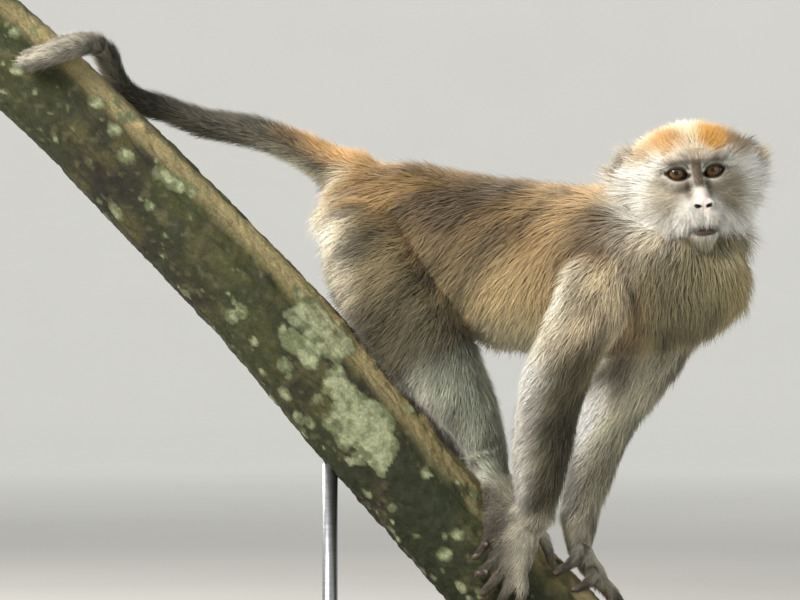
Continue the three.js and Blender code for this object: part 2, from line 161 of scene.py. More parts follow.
def ball(p, centre, radii, turn=None):
    q = p - np.asarray(centre, float)
    if turn is not None:
        q = q @ turn
    radii = np.asarray(radii, float)
    k0 = norm(q / radii)
    k1 = norm(q / radii**2)
    return k0 * (k0 - 1) / np.maximum(k1, 1e-6)


def rod(p, a, b, ra, rb):
    a = np.asarray(a, float)
    ab = np.asarray(b, float) - a
    h = np.clip((p - a) @ ab / (ab @ ab), 0, 1)
    return norm(p - a - h[..., None] * ab) - (ra + (rb - ra) * h)


def chain(p, keys, width):
    """Rods through keys of ((forward, left, up), radius), melted together."""
    out = None
    for (a, ra), (b, rb) in zip(keys, keys[1:]):
        d = rod(p, a, b, ra, rb)
        out = d if out is None else melt(out, d, width)
    return out


def turn_about(axis, degrees):
    """A rotation whose columns are the turned axes of the head frame."""
    c, s = math.cos(math.radians(degrees)), math.sin(math.radians(degrees))
    i, j = [(1, 2), (2, 0), (0, 1)][axis]
    m = np.eye(3)
    m[i, i], m[i, j], m[j, i], m[j, j] = c, -s, s, c
    return m


EYE_HALF = (9.4, 4.9)  # half-width and half-height of the open lids
EYE_CANT = 7.0  # degrees the outer corner stands above the inner one


def eye_opening(p, way):
    """The almond between the lids, as a distance in the plane of the face, and how far out it is."""
    c, s = math.cos(math.radians(EYE_CANT)), math.sin(math.radians(EYE_CANT))
    u = (p[..., 1] * way - EYE_OUT - 0.2)
    v = p[..., 2] + 0.9
    u, v = u * c + v * s, -u * s + v * c
    wide, high = EYE_HALF
    inner = np.clip(-u / wide, 0, 1.4)
    v = v + 1.1 * inner**2
    reach = np.clip(1 - (u / wide) ** 2, 0, 1)
    top = 0.9 * high * reach**0.62
    low = high * 0.92 * reach**0.8
    edge = np.where(v > 0, v - top, -v - low)
    return np.maximum(edge * 0.8, np.abs(u) - wide)


def ear_field(p, way):
    """A thin cupped ear with a rolled rim."""
    q = p - np.array((-45.0, way * 49.0, 4.0))
    up = unit((-0.22, way * 0.16, 0.96))
    face = unit((0.80, way * 0.58, 0.08))
    out = np.cross(up, face) * (-way)
    face = np.cross(out, up) * (1 if np.cross(out, up) @ face > 0 else -1)
    u, v, w = q @ out, q @ up, q @ face
    radius = np.sqrt((u / 11.5) ** 2 + ((v + 1.5) / 17.5) ** 2)
    point = 1 + 0.10 * np.clip(v / 20, 0, 1) * np.clip(1 - np.abs(u) / 12, 0, 1)
    radius = radius / point
    cup = 5.0 * radius**2 - 2.5 + 0.8 * np.cos(np.clip(radius, 0, 1.2) * 7.0)
    leaf = np.abs(w - cup) - 1.25
    sheet = np.maximum(leaf, (radius - 1) * 13.0)
    rim = np.sqrt(((radius - 0.97) * 14.0) ** 2 + (w - cup - 0.4) ** 2) - 1.9
    rim = np.where(v < -15, rim + 0.3 * (-15 - v), rim)
    fold = np.sqrt(((radius - 0.62) * 14.0) ** 2 + (w - cup - 0.5) ** 2) - 1.3
    fold = np.where((v > -2) & (u < 8), fold, fold + 2)
    tragus = ball(p, (-38, way * 46, -10), (5, 5, 7))
    root = ball(p, (-46, way * 43, -6), (9, 9, 15))
    return melt(melt(melt(melt(sheet, rim, 1.2), fold, 1.5), root, 5), tragus, 4)


SKULL = (
    ((-42, 26, 11), (21, 15, 20)),  # chewing muscle over the temple
    ((-24, 0, -2), (23, 33, 25)),  # forehead and temples
    ((-26, 20, -24), (26, 21, 24)),  # cheeks and jaw
    ((-52, 24, -22), (22, 18, 24)),  # back of the jaw
)
SNOUT = (
    ((2, 7.5, -38), (21, 14, 15.5), 8),  # muzzle
    ((14, 6.5, -42), (11.5, 10, 9.5), 5),  # upper lip
    ((21.5, 5.8, -29.0), (5.0, 4.8, 4.2), 3),  # wings of the nose
    ((9, 0, -55), (12, 12.5, 8.5), 6),  # chin
    ((16, 0, -54.0), (8.5, 12, 4.2), 2.5),  # lower lip
    ((-20, 0, -44), (24, 21, 15), 10),  # floor of the jaw
)
BROW_LINE = [((1.8, 0, 9.0), 4.0), ((2.6, 12, 11.0), 4.2), ((-1, 21, 10.0), 4.0), ((-9, 28, 6), 3.4)]
NOSE_LINE = [((0.5, 0, 5), 3.6), ((6, 0, -6), 4.0), ((14, 0, -18), 5.0), ((20.5, 0, -27), 5.8)]


def head_field(p):
    """The skin of the head, in the head frame, without fur."""
    side = np.abs(p[..., 1])
    m = np.stack([p[..., 0], side, p[..., 2]], -1)  # both halves alike
    f = ball(m, (-43, 0, 3), (39, 38, 37))  # cranium
    for centre, radii in SKULL:
        f = melt(f, ball(m, centre, radii), 12)
    f = melt(f, rod(m, (-9, 26, -9), (-26, 36, -12), 5.5, 5.0), 8)  # cheekbone
    f = melt(f, chain(m, BROW_LINE, 4), 7)
    f = melt(f, ball(m, (-6, 16.5, -11.5), (9, 10, 6)), 6)  # under the eye
    f = melt(f, ball(m, (-EYE_SINK, EYE_OUT, 0), (EYE_R + 1.2,) * 3), 2.4)  # lids
    f = melt(f, chain(m, NOSE_LINE, 4), 6)
    for centre, radii, width in SNOUT:
        f = melt(f, ball(m, centre, radii), width)
    line = np.abs(p[..., 2] + 49.8 + 0.012 * side**2 - 0.05 * (25 - p[..., 0])) - 0.9
    slit = np.maximum(np.maximum(line, side - 17), np.maximum(8 - p[..., 0], -f - 2.2))
    f = carve(f, slit, 1.4)
    f = carve(f, ball(m, (26.2, 5.2, -30.2), (6.0, 3.4, 1.7), turn_about(0, 30)), 1.0)  # nostril
    return carve(f, rod(m, (28, 0, -27), (28, 0, -42), 1.2, 0.9), 1.6)  # groove of the lip


def head_skin(p):
    f = head_field(p)
    for way in (-1, 1):
        f = melt(f, ear_field(p, way), 3)
    for way in (-1, 1):
        hole = np.maximum(eye_opening(p, way), -3.5 - p[..., 0])
        f = carve(f, hole, 0.8)
    return f


# ---- a grid over the whole body

VOXEL = 1.4
BAND = 15.0  # how deep inside the solids distances are kept
BAND_OUT = 5.0


def between(values, cell, share, wrap=-1):
    """Trilinear means of values on a lattice, at shares of the way from each cell to the next."""
    out = 0
    for corner in range(8):
        o = np.array([(corner >> k) & 1 for k in range(3)])
        w = np.prod(np.where(o, share, 1 - share), axis=1)
        j = (cell + o) & wrap
        out = out + w * values[j[:, 0], j[:, 1], j[:, 2]]
    return out


class Grid:
    def __init__(self, low, high, voxel):
        self.voxel = voxel
        self.start = np.floor(np.asarray(low) / voxel).astype(int)
        self.shape = tuple(np.ceil(np.asarray(high) / voxel).astype(int) - self.start + 1)

    def window(self, low, high):
        a = np.maximum(np.floor(np.asarray(low) / self.voxel).astype(int) - self.start, 0)
        b = np.minimum(np.ceil(np.asarray(high) / self.voxel).astype(int) - self.start + 1, self.shape)
        return tuple(slice(i, j) for i, j in zip(a, b))

    def all(self):
        return tuple(slice(0, n) for n in self.shape)

    def places(self, window):
        axes = [(np.arange(s.start, s.stop) + o) * self.voxel for s, o in zip(window, self.start)]
        return np.stack(np.meshgrid(*axes, indexing="ij"), -1)

    def distances(self, points, tris, band, window, quads=None):
        way = vdb.createLinearTransform(voxelSize=self.voxel)
        grid = vdb.FloatGrid.createLevelSetFromPolygons(
            points.astype(np.float32), triangles=tris, quads=quads, transform=way,
            exBandWidth=BAND_OUT / self.voxel, inBandWidth=band / self.voxel)
        out = np.empty([s.stop - s.start for s in window], np.float32)
        grid.copyToArray(out, ijk=tuple(int(o + s.start) for o, s in zip(self.start, window)))
        return out

    def mesh(self, values, adaptivity=0.0):
        grid = vdb.FloatGrid(4.0)
        grid.transform = vdb.createLinearTransform(voxelSize=self.voxel)
        values = np.ascontiguousarray(np.clip(values, -4, 4))
        grid.copyFromArray(values, ijk=tuple(int(i) for i in self.start))
        return grid.convertToPolygons(0.0, adaptivity)

    def sample(self, values, points):
        q = points / self.voxel - self.start
        i = np.clip(np.floor(q).astype(int), 0, np.array(values.shape[:3]) - 2)
        return between(values, i, np.clip(q - i, 0, 1))


def blur(a, passes):
    for _ in range(passes):
        for axis in range(3):
            a = np.moveaxis(a, axis, 0)
            b = a.copy()
            b[1:-1] = 0.5 * a[1:-1] + 0.25 * (a[:-2] + a[2:])
            a = np.moveaxis(b, 0, axis)
    return a


def flesh_fields(voxel):
    """Over the whole body: distance to the coat's outer surface, and the number of the nearest node."""
    meshes = {n: node_mesh(n) for n in FLESH}
    margin = 8.0
    low = np.min([m[0].min(0) for m in meshes.values()], 0) - margin
    high = np.max([m[0].max(0) for m in meshes.values()], 0) + margin
    grid = Grid(low, high, voxel)
    union = np.full(grid.shape, BAND, np.float32)
    owner = np.zeros(grid.shape, np.int8)
    nearest = np.full(grid.shape, BAND, np.float32)
    for k, name in enumerate(FLESH):
        points, tris = meshes[name]
        window = grid.window(points.min(0) - margin, points.max(0) + margin)
        d = grid.distances(points, tris, BAND, window)
        closer = d < nearest[window]
        owner[window][closer] = k
        nearest[window] = np.minimum(nearest[window], d)
        if name not in EARS:
            union[window] = np.minimum(union[window], d - 0.6)
    return grid, union, owner


def blown_up(a, shape):
    """A field on every second voxel, brought back to every voxel."""
    for axis in range(3):
        a = np.moveaxis(a, axis, 0)
        n = shape[axis]
        b = np.empty((n, *a.shape[1:]), np.float32)
        b[::2] = a[: (n + 1) // 2]
        odd = n // 2
        after = a[1 : odd + 1]
        if len(after) < odd:
            after = np.concatenate([after, a[-1:]])
        b[1::2] = 0.5 * (a[:odd] + after)
        a = np.moveaxis(b, 0, axis)
    return a


# Passes of blur on every second voxel: how soft the body's form is, and how far coat depths mix.
FORM_PASSES = 3
DEPTH_PASSES = 10
SOFT = {"hand": 0.15, "foot": 0.15, "tail_4": 0.6, "ear": 0.0}


def body_field():
    grid, union, owner = flesh_fields(VOXEL)
    points, tris, quads = grid.mesh(union)
    whole = grid.distances(points, tris, BAND, grid.all(), quads)
    few = (slice(None, None, 2),) * 3
    table = np.array([by_part(DEPTH, n) for n in FLESH], np.float32)
    soft = np.array([by_part(SOFT, n) if by_part(SOFT, n) is not None else 1.0 for n in FLESH], np.float32)
    depth = blown_up(blur(table[owner[few]], DEPTH_PASSES), grid.shape)
    soft = blown_up(blur(soft[owner[few]], DEPTH_PASSES // 2), grid.shape)
    form = blown_up(blur(whole[few], FORM_PASSES), grid.shape)
    return grid, whole + (form - whole) * soft + depth, whole, owner


grid, body, whole, owner = body_field()

# The tail ends in a tuft of hair, so its skin stops short of the solid's tip.
tail_points = node_mesh("tail_4")[0]
TAIL_TIP = tail_points[tail_points[:, 0].argmin()]
window = grid.window(TAIL_TIP - 32, TAIL_TIP + 32)
short_of_tip = 1 - ease(8, 30, norm(grid.places(window) - TAIL_TIP))
body[window] += 14 * short_of_tip
low, high = node_box("head")
ear_low = np.min([node_box(e)[0] for e in EARS], 0)
ear_high = np.max([node_box(e)[1] for e in EARS], 0)
window = grid.window(np.minimum(low, ear_low) - 6, np.maximum(high, ear_high) + 6)
head_part = head_skin(to_head(grid.places(window)))
full = body.copy()
HEAD_MELT = 12
full[window] = melt(body[window], head_part, HEAD_MELT)


def skin_distance(points):
    """The skin's distance field at any points near the head."""
    return melt(grid.sample(body, points), head_skin(to_head(points)), HEAD_MELT)


# ---- the skin's surface


class Surface:
    """A triangle mesh with its neighbourhoods, in millimetres."""

    def __init__(self, co, tri):
        self.co, self.tri = co, tri
        self.rebuild()

    def side_keys(self):
        """A number for each side of each triangle, the same from both its triangles."""
        t = self.tri
        pairs = np.sort(np.concatenate([t[:, [0, 1]], t[:, [1, 2]], t[:, [2, 0]]]), 1)
        return pairs[:, 0].astype(np.int64) * len(self.co) + pairs[:, 1]

    def rebuild(self):
        n = len(self.co)
        key = np.unique(self.side_keys())
        edges = np.stack([key // n, key % n], 1)
        both = np.concatenate([edges, edges[:, ::-1]])
        both = both[np.argsort(both[:, 0], kind="stable")]
        count = np.bincount(both[:, 0], minlength=n)
        first = np.concatenate([[0], np.cumsum(count)[:-1]])
        most = count.max()
        slots = np.arange(len(both)) - first[both[:, 0]]
        self.ring = np.repeat(np.arange(n)[:, None], most, 1)
        self.ring[both[:, 0], slots] = both[:, 1]
        self.count = np.maximum(count, 1)
        self.most = most

    def normals(self):
        a, b, c = (self.co[self.tri[:, k]] for k in range(3))
        face = np.cross(b - a, c - a)
        out = np.zeros_like(self.co)
        for k in range(3):
            for axis in range(3):
                out[:, axis] += np.bincount(self.tri[:, k], face[:, axis], len(self.co))
        return unit(out)

    def mean(self, values):
        """The mean of each vertex's neighbours."""
        pad, count = (self.most - self.count).astype(float), self.count
        if values.ndim > 1:
            pad, count = pad[:, None], count[:, None]
        return (sum(values[near] for near in self.ring.T) - values * pad) / count

    def smoothed(self, values, passes):
        for _ in range(passes):
            values = 0.5 * (values + self.mean(values))
        return values

    def refine(self, chosen):
        """Splits every edge whose two ends are chosen."""
        n = len(self.co)
        t = self.tri
        key, back = np.unique(self.side_keys(), return_inverse=True)
        a, b = key // n, key % n
        split = chosen[a] & chosen[b]
        new = np.full(len(key), -1)
        new[split] = n + np.arange(split.sum())
        self.co = np.concatenate([self.co, (self.co[a[split]] + self.co[b[split]]) / 2])
        mids = new[back].reshape(3, -1).T
        number = (mids >= 0).sum(1)
        out = [t[number == 0]]
        for k in range(3):  # one split edge: k to k + 1
            only = (number == 1) & (mids[:, k] >= 0)
            p, q, r, m = t[only, k], t[only, (k + 1) % 3], t[only, (k + 2) % 3], mids[only, k]
            out += [np.stack([p, m, r], 1), np.stack([m, q, r], 1)]
        for k in range(3):  # the edge k + 2 to k stays whole
            two = (number == 2) & (mids[:, (k + 2) % 3] < 0)
            p, q, r = t[two, k], t[two, (k + 1) % 3], t[two, (k + 2) % 3]
            m, o = mids[two, k], mids[two, (k + 1) % 3]
            out += [np.stack([m, q, o], 1), np.stack([p, m, o], 1), np.stack([p, o, r], 1)]
        whole = number == 3
        p, q, r = t[whole].T
        m, o, u = mids[whole].T
        out += [np.stack(c, 1) for c in ((p, m, u), (m, q, o), (u, o, r), (m, o, u))]
        self.tri = np.concatenate(out)
        self.rebuild()

    def settle(self, chosen, field, passes):
        """Evens out the chosen vertices and puts them back on the field's surface."""
        at = np.nonzero(chosen)[0]
        step = 0.05
        for turn in range(passes):
            here = self.co[at]
            normal = self.normals()[at]
            pull = self.mean(self.co)[at] - here
            here = here + 0.5 * (pull - normal * (pull * normal).sum(1, keepdims=True)) * (turn < passes - 1)
            for _ in range(2):
                value = field(here)
                slope = np.stack([field(here + step * axis) - value for axis in np.eye(3)], 1) / step
                size = (slope**2).sum(1, keepdims=True)
                move = -value[:, None] * slope / np.maximum(size, 0.2)
                here = here + np.clip(move, -1.5, 1.5)
            self.co[at] = here


def largest_body(co, tri):
    """Keeps the biggest connected body of a mesh."""
    label = np.arange(len(co))
    while True:
        low = label[tri].min(1)
        new = label.copy()
        for k in range(3):
            np.minimum.at(new, tri[:, k], low)
        new = new[new]
        if (new == label).all():
            break
        label = new
    main = np.bincount(label[tri[:, 0]]).argmax()
    keep = label[tri[:, 0]] == main
    tri = tri[keep]
    used = np.zeros(len(co), bool)
    used[tri] = True
    place = np.cumsum(used) - 1
    return co[used], place[tri]


def facing_out(co, tri):
    """The triangles of a closed mesh, turned over if they face inwards."""
    p, q, r = (co[tri[:, k]] for k in range(3))
    return tri[:, ::-1] if (np.cross(p, q) * r).sum() < 0 else tri


def skin_surface():
    co, tri, quad = grid.mesh(full, 0.03)
    tri, quad = tri.astype(np.int64), quad.astype(np.int64)
    a, b, c, d = quad.T
    short = norm(co[a] - co[c]) < norm(co[b] - co[d])
    halves = np.where(short[:, None], np.stack([a, b, c], 1), np.stack([a, b, d], 1))
    rests = np.where(short[:, None], np.stack([a, c, d], 1), np.stack([b, c, d], 1))
    tri = facing_out(co, np.concatenate([tri, halves, rests]))
    co, tri = largest_body(co.astype(float), tri)
    surface = Surface(co, tri)
    h = to_head(surface.co)
    surface.refine((h[:, 0] > -20) & (np.abs(h[:, 1]) < 36) & (h[:, 2] > -64) & (h[:, 2] < 20))
    h = to_head(surface.co)
    side = np.abs(h[:, 1])
    eyes = (h[:, 0] > -12) & (np.abs(side - EYE_OUT) < 12) & (np.abs(h[:, 2]) < 8.5)
    nose = (h[:, 0] > 14) & (side < 12) & (np.abs(h[:, 2] + 30) < 7)
    mouth = (h[:, 0] > 6) & (side < 22) & (np.abs(h[:, 2] + 50) < 5)
    surface.refine(eyes | nose | mouth)
    h = to_head(surface.co)
    face = (h[:, 0] > -24) & (np.abs(h[:, 1]) < 40) & (h[:, 2] > -70) & (h[:, 2] < 26)
    surface.settle(face, skin_distance, 4)
    ears = (np.abs(h[:, 1]) > 40) & (h[:, 2] > -18) & (whole_at(surface.co) > -30)
    surface.settle(ears, skin_distance, 2)
    return surface


def whole_at(points):
    return grid.sample(whole, points)


def fast_mesh(name, co, tri):
    """A new mesh object from vertices in millimetres and triangles."""
    mesh = bpy.data.meshes.new(name)
    mesh.vertices.add(len(co))
    mesh.vertices.foreach_set("co", (np.asarray(co) * MM).astype(np.float32).ravel())
    mesh.loops.add(len(tri) * 3)
    mesh.loops.foreach_set("vertex_index", np.asarray(tri).astype(np.int32).ravel())
    mesh.polygons.add(len(tri))
    mesh.polygons.foreach_set("loop_start", np.arange(0, len(tri) * 3, 3, dtype=np.int32))
    mesh.update(calc_edges=True)
    mesh.shade_smooth()
    obj = bpy.data.objects.new(name, mesh)
    bpy.context.scene.collection.objects.link(obj)
    return obj


surface = skin_surface()


def circle(n):
    return np.linspace(0, 2 * math.pi, n, endpoint=False)


def around_axis(tilt, segments):
    """The tilt and the turn of each point of rings round an axis, ring by ring."""
    T, P = np.meshgrid(tilt, circle(segments), indexing="ij")
    return T.ravel(), P.ravel()


def ring_faces(rows, n, turned_over=False, lid=True):
    """Triangles between rings of n points, closed by a fan to each of the two points that follow them."""
    j = np.arange(n)
    k = (j + 1) % n
    out = [np.stack([j, k, np.full(n, rows * n)], 1)]
    for a in range(0, (rows - 1) * n, n):
        out += [np.stack([a + j, a + n + j, a + n + k], 1), np.stack([a + j, a + n + k, a + k], 1)]
    if lid:
        last = (rows - 1) * n
        out.append(np.stack([last + k, last + j, np.full(n, rows * n + 1)], 1))
    tri = np.concatenate(out)
    return tri[:, ::-1] if turned_over else tri


def dress(obj, material, slot, *nodes):
    """Gives a piece its material and its body, and hides the nodes that it stands for; the slot is not used.
    """
    obj.data.materials.append(material)
    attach(obj, "root")
    if nodes:
        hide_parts(*nodes)


# ---- small helpers for colour and noise


def linear(r, g, b):
    """A colour given as 0..255 display values, as linear light."""
    c = np.array((r, g, b), float) / 255
    return np.where(c <= 0.04045, c / 12.92, ((c + 0.055) / 1.055) ** 2.4)


def blend(a, b, t):
    return a + (b - a) * np.asarray(t)[..., None]


LATTICE = np.random.default_rng(5).random((32, 32, 32)).astype(np.float32)
LATTICE_WRAP = 31  # the noise repeats after 32 cells


def murmur(points, size, seed=0):
    """Smooth noise from -1 to 1, with features of about the given size."""
    q = points / size + seed * 7.31
    i = np.floor(q).astype(int)
    t = q - i
    return between(LATTICE, i, t * t * (3 - 2 * t), LATTICE_WRAP) * 2 - 1


# ---- what every place on the skin is like

co = surface.co
normal = unit(surface.smoothed(surface.normals(), 1))
hp = to_head(co)
forward, side, up = hp[:, 0], np.abs(hp[:, 1]), hp[:, 2]

cell = np.clip(np.round(co / grid.voxel).astype(int) - grid.start, 0, np.array(grid.shape) - 1)
place = owner[cell[:, 0], cell[:, 1], cell[:, 2]]
NUMBER = {n: k for k, n in enumerate(FLESH)}


def within(*names):
    """How much a place belongs to the nodes, from 0 to 1, softened across their borders."""
    return surface.smoothed(np.isin(place, [NUMBER[n] for n in names]).astype(float), 14)


is_head = within("head", *EARS)
is_ear = within(*EARS) * ease(38, 44, side)
is_neck = within("neck")
is_torso = within("torso")
is_tail = within(*TAILS)
is_arm, is_forearm, is_thigh, is_shank, is_hand, is_foot = (
    within(f"{part}_right", f"{part}_left")
    for part in ("upper_arm", "forearm", "thigh", "shank", "hand", "foot"))
is_end = is_hand + is_foot
right_limbs, left_limbs = (within(*[n for n in LIMBS + ENDS if n.endswith(way)]) for way in SIDES)
clearance = surface.smoothed(np.clip(-whole_at(co), 0.3, 14.5), 4)
MOST_ROUNDS = 1200


def geodesic(start):
    """Distance along the skin from the chosen vertices."""
    far = np.full(len(co), 1e9)
    far[start] = 0
    legs = [norm(co[near] - co) for near in surface.ring.T]
    for turn in range(MOST_ROUNDS):
        new = far.copy()
        for near, leg in zip(surface.ring.T, legs):
            np.minimum(new, far[near] + leg, out=new)
        if turn % 20 == 0 and np.abs(new - far).max() < 0.01:
            break
        far = new
    return new


source = np.argmin(norm(hp - (12, 0, -14)))
away = geodesic([source])


def gradient(values):
    """The direction in which a value grows along the skin."""
    out = np.zeros_like(co)
    for near in surface.ring.T:
        leg = co[near] - co
        size = np.maximum((leg**2).sum(1), 1e-6)
        out += leg * ((values[near] - values) / size)[:, None]
    return out


def flat(v):
    """Vectors laid along the skin, with unit length."""
    return unit(v - normal * (v * normal).sum(1, keepdims=True))


flow = flat(gradient(surface.smoothed(away, 12)))
DOWN = np.array((0.0, 0.0, -1.0))
sink = 0.95 * is_torso + 0.6 * is_neck + 0.35 * is_thigh + 0.5 * is_arm
flow = flow + DOWN * sink[:, None]
flow = flat(surface.smoothed(flow, 20))

# ---- colours

GOLD = linear(176, 138, 86)
TAN = linear(172, 140, 98)
BACK = linear(98, 73, 36)
FLANK = linear(204, 182, 140)
BELLY = linear(200, 196, 172)
CREAM = linear(238, 228, 206)
GREY = linear(98, 95, 74)
OLIVE_SHADE = linear(112, 98, 70)
PALE_GREY = linear(168, 163, 142)
WHITE = linear(254, 250, 241)
CROWN = linear(246, 234, 206)
ORANGE = linear(216, 158, 76)
BROW = linear(158, 130, 98)
CHEEK = linear(182, 174, 156)
SKIN_GREY = linear(144, 132, 120)
SKIN_PINK = linear(240, 226, 218)
SKIN_DARK = linear(40, 32, 27)
LID_PALE = linear(142, 156, 138)
BRIDGE = linear(82, 66, 50)
LIP = linear(72, 58, 44)
EAR = linear(140, 122, 108)
TAIL_TOP = linear(46, 47, 38)


def spot(centre, radii, soft=0.5):
    """1 inside an oval of the head frame's own space, fading to 0 around it; both halves alike."""
    q = np.stack([forward, side, up], -1) - np.asarray(centre, float)
    r = np.sqrt(((q / np.asarray(radii, float)) ** 2).sum(1))
    return 1 - ease(1 - soft, 1 + soft, r)


def painted(colour, *layers):
    """A colour with others laid over it in turn, each with its share from 0 to 1."""
    for over, share in layers:
        colour = blend(colour, over, share)
    return colour


def body_colour():
    x, z = co[:, 0], co[:, 2]
    rise = normal[:, 2]
    outward = normal[:, 1] * (left_limbs - right_limbs)
    inner = 1 - ease(-0.75, 0.0, outward)
    # The limbs' sides that face -x, towards the key and rim lamps, are painted paler: painted rim light.
    painted_rim_light = ease(-0.05, 0.7, -normal[:, 0])
    trunk = painted(
        FLANK,
        (BACK, ease(-0.5, 0.5, rise) * (1 - 0.6 * ease(170, 225, x))),
        # Darker olive towards the bottom of the trunk: painted shade.
        (linear(124, 116, 80), 0.9 * (1 - ease(392, 450, z))),
        (BELLY, 1 - ease(-0.8, -0.2, rise)),
        (TAN, 0.8 * ease(165, 225, x)),
        (CREAM, 0.7 * ease(228, 256, x) * ease(-0.3, 0.4, rise)),
        (linear(156, 146, 110), ease(245, 280, x) * (1 - ease(0.1, 0.6, rise))),  # chest: pale fur painted darker and olive, as painted shade
        (CREAM, (1 - ease(-4, 34, x)) * (1 - ease(0.35, 0.85, rise))),  # rear
        (GOLD, 0.75 * (1 - ease(30, 105, x)) * ease(0.2, 0.9, rise)),
    )
    arm = painted(linear(236, 216, 180), (linear(98, 90, 64), 0.95 * (1 - ease(358, 402, z))), (BELLY, inner),
                  (CREAM, 0.85 * painted_rim_light))
    # The forearm's side that faces +x, away from the lamps, is painted darker: painted shade.
    forearm = painted(GREY, (linear(70, 70, 48), ease(0.1, 0.8, normal[:, 0])), (BELLY, 0.8 * inner),
                      (WHITE, 0.9 * painted_rim_light))
    thigh = painted(linear(102, 90, 60), (linear(56, 52, 34), 1 - ease(385, 450, z)), (BELLY, 0.7 * inner),
                    (CREAM, 1 - ease(0, 34, x + 0.1 * (z - 400))))
    shank = painted(linear(172, 178, 160), (BELLY, 0.6 * inner), (WHITE, 0.4 * painted_rim_light))
    tail = painted(
        PALE_GREY,
        (TAIL_TOP, ease(-0.7, 0.0, rise)),
        (TAIL_TOP, 0.8 * (1 - ease(-110, -50, x))),
        (linear(192, 186, 170), 1 - ease(-240, -200, x)),  # the hook
        (linear(198, 156, 98), 0.95 * ease(-75, -20, x) * ease(-0.35, 0.75, rise)),  # the root
    )
    end = painted(linear(184, 178, 160), (CREAM, 0.4 * is_foot),
                  (linear(74, 68, 56), 1 - ease(14, 36, from_tip)))
    parts = ((is_torso + is_neck, trunk), (is_arm, arm), (is_forearm, forearm), (is_thigh, thigh),
             (is_shank, shank), (is_tail, tail), (is_end, end))
    total = sum(w for w, _ in parts) + 1e-6
    return sum(w[:, None] * c for w, c in parts) / total[:, None]


def head_colour():
    left = hp[:, 1]
    patch = spot((-15, 21, 28), (26, 16, 11), 0.45)
    nape = ease(-30, -54, forward) * ease(-75, -20, up + 0.4 * side)
    bridge = (1 - ease(2.8, 6.0, side)) * ease(-17, -10, up) * (1 - ease(8, 13, up)) * ease(-10, 0, forward)
    muzzle = spot((20, 0, -36), (16, 13, 14), 0.3) + spot((8, 20, -42), (18, 19, 8), 0.3)
    return painted(
        WHITE,  # ruff and temples
        (CROWN, ease(8, 24, up) * (1 - ease(30, 50, side))),
        (ORANGE, 0.95 * patch),
        # A deeper orange on the animal's left half of the patch only: painted shade on that side.
        (linear(236, 164, 52), 0.8 * patch * ease(-2, 8, left)),
        (TAN, 0.9 * spot((-21, 41, 20), (20, 13, 12), 0.5)),
        (WHITE, 0.9 * spot((-2, 32, 8), (10, 8, 6), 0.4)),
        (TAN, 0.5 * spot((0, 0, 18), (12, 5, 8), 0.5)),
        (linear(160, 132, 90), 0.92 * nape),
        (BROW, 0.6 * spot((2, 13, 13), (12, 20, 4.0), 0.5)),
        # A fine dark line just above the eyes: painted shade under the brow ridge.
        (BRIDGE, 0.9 * spot((2, 13, 8.6), (12, 16, 2.3), 0.6)),
        (CHEEK, spot((-6, 24, -17), (24, 15, 20), 0.4)),
        # The cheek painted more olive on the animal's left only: painted shade on that side.
        (OLIVE_SHADE, 0.35 * spot((-8, 27, -22), (24, 14, 18), 0.5) * ease(0, 10, left)),
        # Darker in the hollow under the inner corners of the eyes: painted shade.
        (linear(120, 108, 88), 0.6 * spot((2, 12, -12), (14, 7, 7), 0.5)),
        # An olive band along the jaw below the moustache: painted shade under it.
        (OLIVE_SHADE, 0.92 * spot((0, 27, -58), (24, 19, 8), 0.4)),
        (BRIDGE, 0.9 * bridge),
        # Dark lines down the sides of the nose: the skin's own darker tone and painted shade beside the nose.
        (BRIDGE, 0.75 * spot((8, 8.5, -15), (12, 3.4, 11), 0.5)),
        (WHITE, np.clip(muzzle, 0, 1)),
        (WHITE, spot((16, 0, -25), (14, 6.2, 10), 0.35)),  # nose
        (SKIN_DARK, 0.8 * spot((22, 0, -48.0), (12, 13, 1.6), 0.5)),  # line of the mouth: dark hair at the lip's edge, and painted shade in the slit
        (linear(190, 182, 158), spot((8, 0, -63), (18, 20, 8), 0.3)),  # beard
        (linear(186, 178, 160), is_ear),
    )


